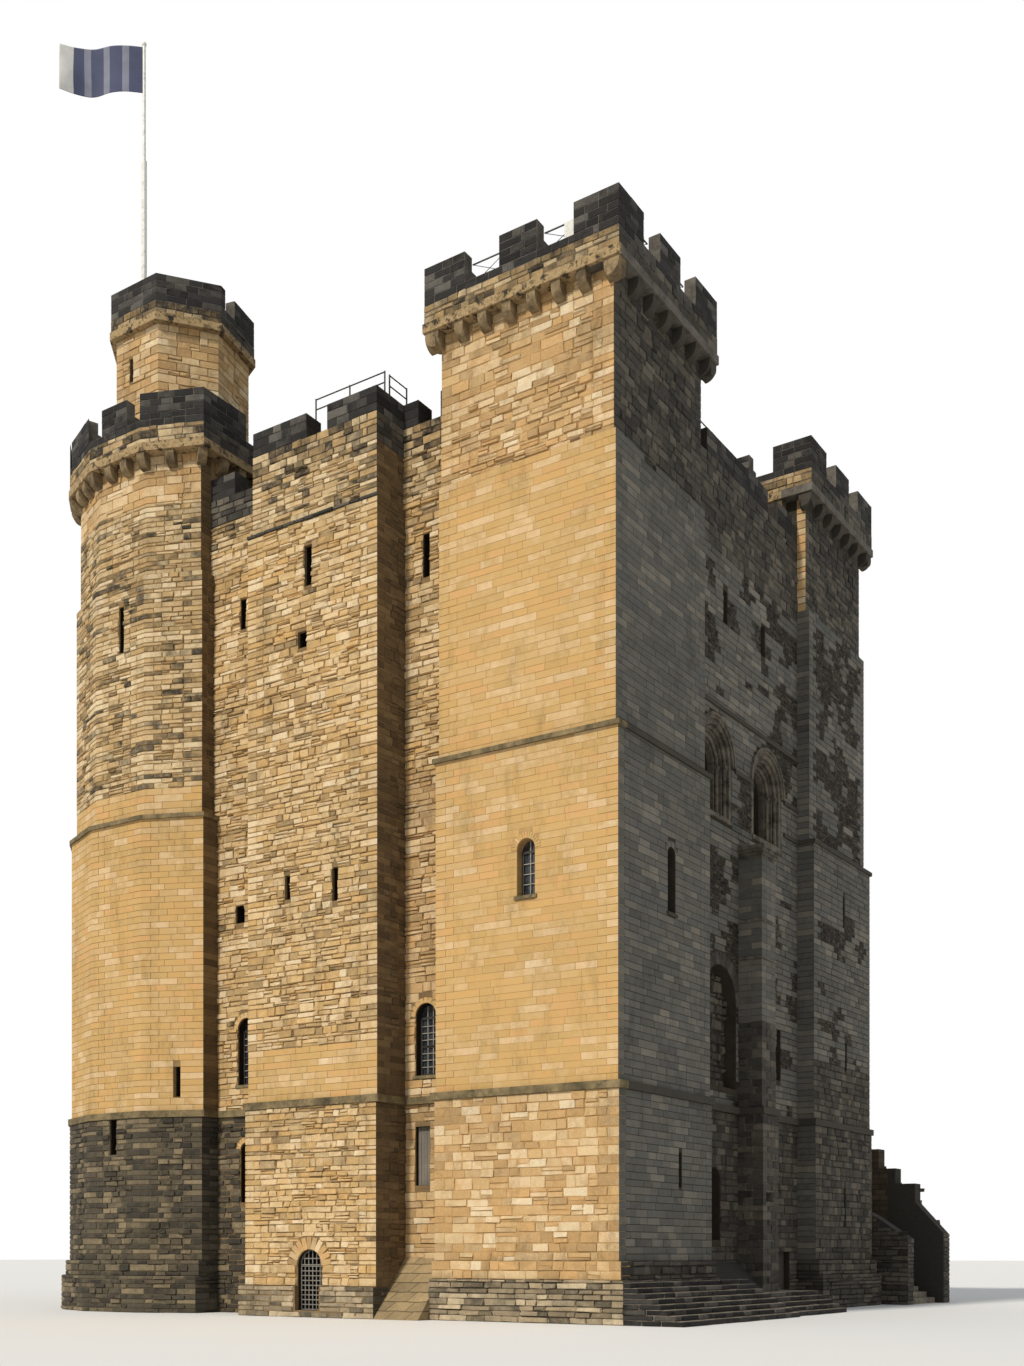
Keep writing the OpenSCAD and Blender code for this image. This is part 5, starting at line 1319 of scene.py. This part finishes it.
finishes = {
    "ashlar": stone_finish("smooth_ashlar", [
        (188, 152, 98), (212, 178, 130), (196, 161, 105), (204, 163, 104), (199, 165, 111), (216, 185, 142),
        (192, 157, 101), (203, 169, 118), (196, 160, 102), (208, 163, 108), (200, 165, 112), (226, 202, 166),
    ], (120, 102, 66), 0.42, 0.004, 0.08),
    "honey": stone_finish("honey_squared_rubble", [
        (164, 135, 95), (217, 182, 130), (201, 162, 110), (232, 203, 157), (184, 151, 106), (217, 174, 118),
        (240, 219, 182), (211, 176, 126),
    ], (84, 68, 48), 0.42, 0.026, 0.26),
    # Grey-brown stone of the fronts in shade: real weathering and soot, greyed and darkened further as
    # painted shade
    "weathered": stone_finish("weathered_shaded_ashlar", [
        (80, 78, 74), (112, 109, 101), (98, 96, 90), (120, 115, 105), (102, 101, 97), (138, 131, 118),
        (90, 89, 86),
    ], (54, 56, 52), 0.80, 0.010, 0.20),
    "golden": stone_finish("golden_rubble", [
        (104, 90, 68), (212, 177, 124), (229, 200, 152), (202, 165, 111), (239, 216, 177), (214, 177, 119),
        (187, 157, 111), (233, 204, 159), (214, 173, 113), (165, 140, 103), (225, 196, 148),
    ], (40, 35, 29), 0.40, 0.026, 0.30),
    "flatstone": stone_finish("mixed_flat_stones", [
        (66, 62, 56), (210, 180, 134), (184, 156, 114), (224, 198, 154), (92, 84, 70), (204, 170, 118),
        (232, 210, 172), (194, 162, 114), (60, 57, 52), (218, 188, 140),
    ], (40, 35, 29), 0.38, 0.024, 0.32),
    # Painted shade: golden rubble darkened for the south-facing sides of the buttress and the north-west
    # turret
    "umber": stone_finish("shaded_umber_rubble", [
        (84, 68, 48), (122, 102, 72), (100, 82, 58), (136, 114, 82), (90, 74, 54), (116, 96, 68),
    ], (44, 37, 28), 0.55, 0.020, 0.30),
    "greyrubble": stone_finish("plinth_rubble", [
        (92, 83, 68), (184, 164, 132), (122, 110, 89), (216, 196, 162), (98, 90, 75), (190, 170, 138),
        (136, 122, 100),
    ], (58, 51, 42), 0.55, 0.026, 0.34),
    "darkrubble": stone_finish("dark_plinth_rubble", [
        (58, 54, 48), (96, 88, 74), (70, 65, 57), (150, 134, 106), (64, 60, 53), (112, 101, 82),
        (82, 76, 65),
    ], (34, 32, 29), 0.6, 0.028, 0.34),
    "black": stone_finish("black_ashlar", [
        (32, 31, 30), (62, 60, 58), (42, 40, 39), (110, 105, 98), (35, 33, 32), (52, 50, 48),
        (76, 73, 69),
    ], (24, 23, 22), 0.6, 0.016, 0.42),
    "mixed": stone_finish("parapet_rubble", [
        (50, 47, 42), (208, 178, 132), (132, 112, 82), (222, 196, 154), (46, 43, 38), (196, 164, 116),
        (60, 55, 47), (214, 186, 142),
    ], (34, 31, 27), 0.50, 0.022, 0.32),
    # Dark stone: real soot, and painted shade where it is laid on fronts in shade and on the stair walls
    "sooty": stone_finish("sooty_shaded_rubble", [
        (54, 52, 48), (98, 93, 84), (72, 68, 62), (122, 114, 100), (60, 57, 52), (108, 102, 92),
    ], (22, 21, 20), 0.8, 0.024, 0.36),
}

# Painted shade inside the west front's openings: how far behind the face it starts, and how far the openings
# of the buttress keep from its corners
REVEAL_IN, BASE_REVEAL_IN, BUTT_REVEAL_IN = 0.05, 0.03, 0.10
BUTT_EDGE = 0.2
NW_FACE = WEST - NW_BULGE
NW_LOW_SLIT_FACE = -8.73
NW_REVEALS = [
    (NW_FACE + STAGE_IN + REVEAL_IN, (NW_MID_SIDE_Y + 0.71, NW_MID_SIDE_Y + 0.95), (19.2, 20.6)),
    (NW_FACE - LOWER_OUT + REVEAL_IN, (NW_MID_SIDE_Y + 0.80, NW_MID_SIDE_Y + 1.12), (4.5, 5.64)),
    (NW_LOW_SLIT_FACE, (NW_Y + 0.62, NW_Y + 0.85), (6.1, 7.06)),
]
BUTT_MIDDLE = (BUTT_S + BUTT_EDGE, BUTT_N - BUTT_EDGE)

RUBBLE_JOINT = (134, 110, 77)
# On the turret's sunny faces the joints are pale; on its other faces they stay dark as painted shade
sw_core = blockwork("pale_mortar_and_core", (64, 58, 50), pale_band=(PLINTH_STEP_Z, SW_LIP, (184, 148, 98)))
wall_core = blockwork("west_wall_core", RUBBLE_JOINT,
                      reveal=[(WALL_W + REVEAL_IN, (SW_Y, NW_Y), (0.0, ROOF))])
buttress_core = blockwork("buttress_core", RUBBLE_JOINT,
                          reveal=[(BUTT_X + BUTT_REVEAL_IN, BUTT_MIDDLE, (0.0, ROOF - BUTT_EDGE))])
base_core = blockwork("buttress_base_core", RUBBLE_JOINT,
                      reveal=[(BUTT_X - LOWER_OUT + BASE_REVEAL_IN, BUTT_MIDDLE, (0.0, STRING_Z))])
nw_core = blockwork("round_turret_core", (146, 119, 80), pale_band=(0.0, STRING_Z, (98, 88, 70)),
                    reveal=NW_REVEALS)
flag_core = blockwork("flag_turret_core", RUBBLE_JOINT)
joint_light = blockwork("mortar_and_core", (118, 98, 70))
joint_dark = blockwork("dark_mortar_and_core", (66, 59, 50))
# The stair's dark core blocks are partly painted shadow of the keep
stair_core = blockwork("stair_core", (52, 46, 38), [(92, 82, 68), (72, 64, 54)], 0.19, 0.44, False)
apron = blockwork("apron_blocks", (84, 74, 56), [(176, 152, 112), (140, 122, 92)], 0.24, 0.62, False)
joint_black = blockwork("black_core", (62, 58, 52), [(70, 65, 58), (54, 50, 45)], 0.186, 0.46, False)
sw_parapet_core = parapet_core("sw_parapet_core", SW_LIP)
turret_parapet_core = parapet_core("turret_parapet_core", LIP)
flag_parapet_core = parapet_core("flag_parapet_core", FLAG_LIP)
corbel_cut = moulding("corbel_stone", [(86, 74, 57), (138, 118, 88), (176, 152, 114)], (52, 47, 40),
                      shaded_south=True)
dark_cut = moulding("dark_cut_stone", [(92, 82, 60), (132, 116, 84), (158, 138, 102)], (58, 52, 42),
                    shaded_south=True)
# The window orders are grey as painted shade on the south front, and darken into the recess as painted shade
order_stone = moulding("window_order_stone", [(76, 71, 64), (112, 104, 92), (136, 126, 108)], (16, 15, 14),
                       depth=(WALL_S + 0.35, WALL_S + 1.00))
# Cut stone of the south front: its grey tones are partly painted shade
tan_cut = moulding("tan_cut_stone", [(76, 72, 65), (110, 104, 93), (132, 124, 110)], (44, 41, 38))
# Pale treads: painted light on the tops of the steps
step_cut_painted_light = moulding("worn_step_stone_painted_light", [(112, 104, 92), (150, 140, 122), (176, 164, 144)], (84, 78, 68))
roof_flags = moulding("roof_flags", [(96, 92, 86), (120, 114, 104)], (66, 62, 56))
boards = wood("floor_boards", (132, 98, 62), (84, 60, 38), (1.0, 12.0, 1.0))
old_boards = wood("weathered_boards", (132, 124, 112), (84, 76, 66), (10.0, 10.0, 1.0))
dark_boards = wood("dark_boards", (62, 54, 46), (34, 30, 26), (10.0, 10.0, 1.0))
iron = metal("wrought_iron", (52, 50, 49), (74, 50, 38), 0.3, 0.62)
grille_iron = metal("weathered_grille_iron", (128, 124, 116), (92, 78, 64), 0.1, 0.6)
lead_bars = metal("window_lead", (176, 170, 156), (140, 132, 118), 0.0, 0.6)
frame_paint = metal("window_frame_paint", (44, 38, 33), (30, 27, 24), 0.0, 0.6)
white_paint = metal("painted_pole", (222, 220, 212), (170, 164, 150), 0.0, 0.4)
glass = pane("old_glass")
flag_cloth = cloth("flag_cloth")

# Finishes of the nodes; the walls' parapets, which aren't listed, are black stone
NODE_FINISHES = {
    "sw_turret": sw_core, "se_turret": joint_dark, "ne_turret": joint_light, "nw_turret": nw_core,
    "sw_parapet": sw_parapet_core, "se_parapet": turret_parapet_core, "ne_parapet": turret_parapet_core,
    "nw_parapet": turret_parapet_core, "flag_turret_parapet": flag_parapet_core, "flag_turret": flag_core,
    "west_wall": wall_core, "west_buttress": buttress_core, "buttress_base": base_core,
    "south_wall": joint_dark, "east_wall": joint_dark, "north_wall": joint_dark, "foot_slopes": apron,
    "stair_inner_wall": stair_core, "stair_outer_wall": stair_core, "south_pilaster": tan_cut,
    "sw_corbels": corbel_cut, "se_corbels": corbel_cut, "ne_corbels": corbel_cut, "nw_corbels": corbel_cut,
    "string_courses": dark_cut, "great_window_west": order_stone, "great_window_east": order_stone,
    "south_steps": step_cut_painted_light, "stair_flight": step_cut_painted_light, "stair_landing": step_cut_painted_light, "ground_floor": step_cut_painted_light,
    "roof_deck": roof_flags, "turret_roofs": roof_flags,
    "first_floor": boards, "hall_floor": boards, "upper_floor": boards,
    "window_glass": glass, "boarded_window": old_boards, "upper_door": dark_boards, "south_door": dark_boards,
    "gate_head": grille_iron, "grille_gate": grille_iron, "hinge_pintles": iron, "roof_railings": iron,
    "flagpole": white_paint,
}


def dress_nodes():
    for name, obj in nodes.items():
        material = NODE_FINISHES.get(name, joint_black)
        for slot in obj.material_slots:
            slot.material = material


# Small fittings: window bars and sills, planks, rails and the bare panel

class Boxes:
    """Boxes gathered into one mesh."""

    def __init__(self):
        self.verts, self.faces = [], []

    def add(self, lo, hi):
        self.bar([(x, y, z) for z in (lo[Z], hi[Z]) for y in (lo[Y], hi[Y]) for x in (lo[X], hi[X])])

    def add_in_wall(self, axis, along, depth, up):
        """A box given by its ranges along a wall, through it and upwards."""
        self.add(*(zip(depth, along, up) if axis == Y else zip(along, depth, up)))

    def bar(self, corners):
        """A box from its eight corners: x runs fastest, then y, then z."""
        base = len(self.verts)
        self.verts += corners
        for face in ((0, 2, 3, 1), (4, 5, 7, 6), (0, 1, 5, 4), (2, 6, 7, 3), (0, 4, 6, 2), (1, 3, 7, 5)):
            self.faces.append([base + k for k in face])

    def rod(self, p, q, r):
        """A thin square rod between two points."""
        axis = (Vector(q) - Vector(p)).normalized()
        side = axis.cross(Vector((0, 0, 1))) if abs(axis.z) < 0.9 else axis.cross(Vector((1, 0, 0)))
        side = side.normalized() * r
        up = axis.cross(side).normalized() * r
        corners = []
        for level in (-1, 1):
            for end in (Vector(p), Vector(q)):
                corners += [end - side + up * level, end + side + up * level]
        self.bar([tuple(c) for c in corners])

    def piece(self, name, material, slot, bevel=0.0):
        mesh = bpy.data.meshes.new(name)
        mesh.from_pydata(self.verts, [], self.faces)
        mesh.materials.append(material)
        obj = placed(name, mesh)
        if bevel:
            rounding = obj.modifiers.new("edges", "BEVEL")
            rounding.width = bevel
            rounding.segments = 2
            obj = plain_mesh(obj, name)
        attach(obj, "keep")


# Windows that are glazed: (opening, plane of the wall, axis along it, panes across, panes up)
WINDOWS = [
    (AB_WINDOW, WALL_W, Y, 3, 8), (NB_WINDOW, WALL_W, Y, 3, 8),
    (SW_WEST_WINDOW, WEST, Y, 2, 4), (SW_SOUTH_WINDOW, SOUTH, X, 2, 5),
]
GLASS_IN = 0.26
FRAME_W, FRAME_D, FRAME_CLEAR = 0.065, 0.045, 0.002
GLASS_CLEAR = 0.004
TRANSOM_R = 0.03
TRANSOM_PANES = 6
BAR_R = 0.0075
ARCH_BAR_SHORT = 0.03
SILL_OUT, SILL_IN, SILL_SIDE, SILL_D, SILL_CLEAR = 0.055, 0.10, 0.07, 0.09, 0.004


def glaze(bars, frames, opening, plane, axis, columns, rows):
    """Frame and glazing bars just outside a pane; plane is the pane's outer face."""
    mid, sill, width, height, _ = opening
    spring = sill + height - width / 2
    depth = (plane - FRAME_D, plane - GLASS_CLEAR)
    left, right = mid - width / 2, mid + width / 2
    foot = sill + FRAME_CLEAR
    inner = (left + FRAME_W, right - FRAME_W)
    frames.add_in_wall(axis, (left + FRAME_CLEAR, inner[0]), depth, (foot, spring))
    frames.add_in_wall(axis, (inner[1], right - FRAME_CLEAR), depth, (foot, spring))
    frames.add_in_wall(axis, inner, depth, (foot, sill + FRAME_W))
    frames.add_in_wall(axis, inner, depth, (spring - FRAME_W, spring))
    if rows >= TRANSOM_PANES:
        middle = (sill + spring) / 2
        frames.add_in_wall(axis, inner, depth, (middle - TRANSOM_R, middle + TRANSOM_R))
    for k in range(1, columns):
        u = left + FRAME_W + (width - 2 * FRAME_W) * k / columns
        across = (u - BAR_R, u + BAR_R)
        rise = math.sqrt(max(0.0, (width / 2 - ARCH_BAR_SHORT) ** 2 - (u - mid) ** 2))
        bars.add_in_wall(axis, across, depth, (sill + FRAME_W, spring - FRAME_W))
        bars.add_in_wall(axis, across, depth, (spring, spring + rise))
    for k in range(1, rows):
        z = sill + FRAME_W + (spring - sill - 2 * FRAME_W) * k / rows
        bars.add_in_wall(axis, inner, depth, (z - BAR_R, z + BAR_R))


def make_windows():
    bars, frames, sills = Boxes(), Boxes(), Boxes()
    for opening, plane, axis, columns, rows in WINDOWS:
        glaze(bars, frames, opening, plane + GLASS_IN, axis, columns, rows)
        mid, sill, width = opening[:3]
        sills.add_in_wall(axis, (mid - width / 2 - SILL_SIDE, mid + width / 2 + SILL_SIDE),
                          (plane - SILL_OUT, plane + SILL_IN), (sill - SILL_D, sill - SILL_CLEAR))
    bars.piece("window_bars", lead_bars, "iron")
    frames.piece("window_frames", frame_paint, "iron")
    sills.piece("window_sills", dark_cut, "moulded_stone", 0.008)


PLANKS = 5
PLANK_IN = 0.149
PLANK_D, PLANK_VARY = 0.011, 0.008
PLANK_GAP_R, PLANK_END = 0.003, 0.01


def make_planks():
    """Upright planks on the boarded window."""
    mid, sill, width, height, _ = BOARDED
    planks = Boxes()
    rng = random.Random("planks")
    for k in range(PLANKS):
        start = mid - width / 2 + width * k / PLANKS
        planks.add_in_wall(Y, (start + PLANK_GAP_R, start + width / PLANKS - PLANK_GAP_R),
                           (WALL_W + PLANK_IN - PLANK_D - PLANK_VARY * rng.random(), WALL_W + PLANK_IN),
                           (sill + PLANK_END, sill + height - PLANK_END))
    planks.piece("window_planks", old_boards, "weathered_boards", 0.003)


RAIL_IN = 0.36
RAIL_LOW, RAIL_HIGH = 0.10, 0.62
TOP_RAIL_R, LOW_RAIL_R, STAY_R = 0.014, 0.010, 0.006
PANEL_IN, PANEL_D = 0.30, 0.02
PANEL_ALONG, PANEL_UP = (0.02, 0.44), (0.06, 0.62)


def make_rails():
    """Rails with crossed stays in the crenels of the south-west turret, and the bare white panel in one."""
    rails, panel = Boxes(), Boxes()
    (x0, y0), _, (x1, y1), _ = square_outline("sw_parapet")
    sill_z = SW_LIP + SILL_H
    low_z, high_z = sill_z + RAIL_LOW, sill_z + RAIL_HIGH
    crenels = [((x0 + RAIL_IN, y0 + start), (x0 + RAIL_IN, y0 + end))
               for start, end in crenel_lengths(y1 - y0)]
    crenels += [((x0 + start, y0 + RAIL_IN), (x0 + end, y0 + RAIL_IN))
                for start, end in crenel_lengths(x1 - x0)]
    for p, q in crenels:
        rails.rod((*p, high_z), (*q, high_z), TOP_RAIL_R)
        rails.rod((*p, low_z), (*q, low_z), LOW_RAIL_R)
        rails.rod((*p, low_z), (*q, high_z), STAY_R)
        rails.rod((*p, high_z), (*q, low_z), STAY_R)
    rails.piece("crenel_rails", iron, "iron")
    start = y0 + CORNER_MERLON
    panel.add_in_wall(Y, [start + u for u in PANEL_ALONG], (x0 + PANEL_IN, x0 + PANEL_IN + PANEL_D),
                      [sill_z + z for z in PANEL_UP])
    panel.piece("bare_panel", white_paint, "pole_paint", 0.003)


# Flag

POLE_XY = (-6.90, 7.85)
FLAG_DIR = math.radians(123.3)
FLAG_LENGTH = 2.55
FLAG_HEIGHT = 1.43
FLAG_COLUMNS, FLAG_ROWS = 96, 44
CLOTH_D = 0.004
POLE_THIN_R = 0.048
POLE_CLEAR = 0.002
BALL_D = 0.15
# Folds of the flag: their depth, and how many degrees of the wave fit its length
FOLD_DEPTH, FOLD_TURN = 0.13, 430
SAG = 0.05


def flag_point(u, v, top, along, across):
    """Point of the waved cloth, with u from the pole to the fly and v from the bottom up."""
    fold = FOLD_DEPTH * math.sin(math.radians(FOLD_TURN * u)) * (0.3 + u)
    ripple = 0.035 * math.sin(7.0 * u + 4.0 * v) * u + 0.018 * math.sin(19.0 * u - 6.0 * v) * u
    sag = -SAG * u * (1 - v) * math.sin(math.pi * u)
    from_pole = POLE_THIN_R + POLE_CLEAR + (FLAG_LENGTH - 0.02) * u
    hoist = Vector((*POLE_XY, top - FLAG_HEIGHT * (1 - v) + sag))
    return hoist + (along * from_pole + across * (fold + ripple))


def make_flag():
    """The flag: one cloth in folds that deepen towards the fly, hung along the top of the pole."""
    top = high("flagpole", Z) - BALL_D
    along = Vector((math.cos(FLAG_DIR), math.sin(FLAG_DIR), 0.0))
    across = Vector((-along.y, along.x, 0.0))
    spots = [(i / FLAG_COLUMNS, j / FLAG_ROWS) for j in range(FLAG_ROWS + 1) for i in range(FLAG_COLUMNS + 1)]
    row = FLAG_COLUMNS + 1
    faces = [(a, a + 1, a + row + 1, a + row)
             for j in range(FLAG_ROWS) for a in range(j * row, j * row + FLAG_COLUMNS)]
    mesh = bpy.data.meshes.new("flag_cloth_sheet")
    mesh.from_pydata([flag_point(u, v, top, along, across) for u, v in spots], [], faces)
    layer = mesh.uv_layers.new(name="cloth")
    for loop in mesh.loops:
        layer.data[loop.index].uv = spots[loop.vertex_index]
    mesh.polygons.foreach_set("use_smooth", [True] * len(mesh.polygons))
    mesh.materials.append(flag_cloth)
    obj = placed("flag_cloth_sheet", mesh)
    solid = obj.modifiers.new("thickness", "SOLIDIFY")
    solid.thickness = CLOTH_D
    solid.offset = 0.0
    piece = plain_mesh(obj, "flag_cloth_sheet")
    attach(piece, "keep")
    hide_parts("flag")


# Floor, lights and camera

FLOOR_R = 400.0


def make_stage():
    mesh = bpy.data.meshes.new("floor")
    corners = [(-FLOOR_R, -FLOOR_R, 0), (FLOOR_R, -FLOOR_R, 0), (FLOOR_R, FLOOR_R, 0), (-FLOOR_R, FLOOR_R, 0)]
    mesh.from_pydata(corners, [], [(0, 1, 2, 3)])
    paint = Paint("pale_floor")
    paint.shader.inputs["Base Color"].default_value = (0.80, 0.79, 0.77, 1)
    paint.shader.inputs["Roughness"].default_value = 0.9
    mesh.materials.append(paint.material)
    placed("floor", mesh)


def sun(name, azimuth, elevation, strength, angle, colour):
    """A lamp whose light comes from a compass direction, in degrees from north, clockwise."""
    lamp = bpy.data.lights.new(name, "SUN")
    lamp.energy = strength
    lamp.angle = math.radians(angle)
    lamp.color = colour
    a, e = math.radians(azimuth), math.radians(elevation)
    towards = Vector((math.sin(a) * math.cos(e), math.cos(a) * math.cos(e), math.sin(e)))
    placed(name, lamp).rotation_euler = towards.to_track_quat("Z", "Y").to_euler()


def make_lights():
    sun("key", 277, 40, 2.75, 5, (1.0, 0.95, 0.86))
    sun("fill", 200, 50, 0.10, 60, (0.88, 0.94, 1.0))
    world = bpy.data.worlds.new("studio")
    bpy.context.scene.world = world
    world.use_nodes = True
    t = Tree(world.node_tree)
    world.node_tree.nodes.clear()
    soft = t.add("ShaderNodeBackground", {"Color": (0.88, 0.94, 1.0, 1), "Strength": 0.42})
    plain = t.add("ShaderNodeBackground", {"Color": (1, 1, 1, 1), "Strength": 1.0})
    path = t.add("ShaderNodeLightPath").outputs
    mirrored = t.math("MAXIMUM", path["Is Glossy Ray"], path["Is Transmission Ray"])
    seen = t.math("MAXIMUM", path["Is Camera Ray"], mirrored)
    both = t.add("ShaderNodeMixShader", {0: seen, 1: soft.outputs[0], 2: plain.outputs[0]})
    t.add("ShaderNodeOutputWorld", {"Surface": both.outputs[0]})


IMAGE_H = 1366
SENSOR = 36.0
EYE = Vector((-39.395, -27.057, 1.65))
LOOK = Vector((0.8364, 0.5481, 0.0))
FOCAL_PX = 1496.0
HORIZON_ROW = 1255.0
SHIFT = 0.4187


def make_camera():
    """Camera at the photograph's eye point; what the shift leaves of the framing is made by tilting up."""
    camera = bpy.data.cameras.new("camera")
    camera.sensor_fit = "VERTICAL"
    camera.sensor_height = SENSOR
    camera.lens = SENSOR * FOCAL_PX / IMAGE_H
    camera.shift_y = SHIFT
    camera.clip_end = 2000.0
    tilt = math.atan((HORIZON_ROW - IMAGE_H / 2 - SHIFT * IMAGE_H) / FOCAL_PX)
    forward = LOOK * math.cos(tilt) + Vector((0, 0, math.sin(tilt)))
    obj = placed("camera", camera)
    obj.location = EYE
    obj.rotation_euler = forward.to_track_quat("-Z", "Y").to_euler()
    bpy.context.scene.camera = obj


def build_facings():
    for lay in (lay_keep, lay_battlements, lay_flag_turret, lay_upper_sides, lay_stair, lay_steps,
                lay_pilaster, lay_ruin):
        lay()
    for ring in ARCH_RINGS:
        lay_arch(*ring)
    tree = stone_tree()
    laid = {key: stones for key, stones in sorted(facings.items()) if stones.rows}
    for (owner, finish), stones in laid.items():
        build_facing(tree, owner, finish, stones, finishes[finish])
    print("stones", sum(len(stones.rows) for stones in laid.values()))


dress_nodes()
build_facings()
make_windows()
make_planks()
make_rails()
make_flag()
make_stage()
make_lights()
make_camera()
bpy.context.scene.view_settings.view_transform = "Standard"
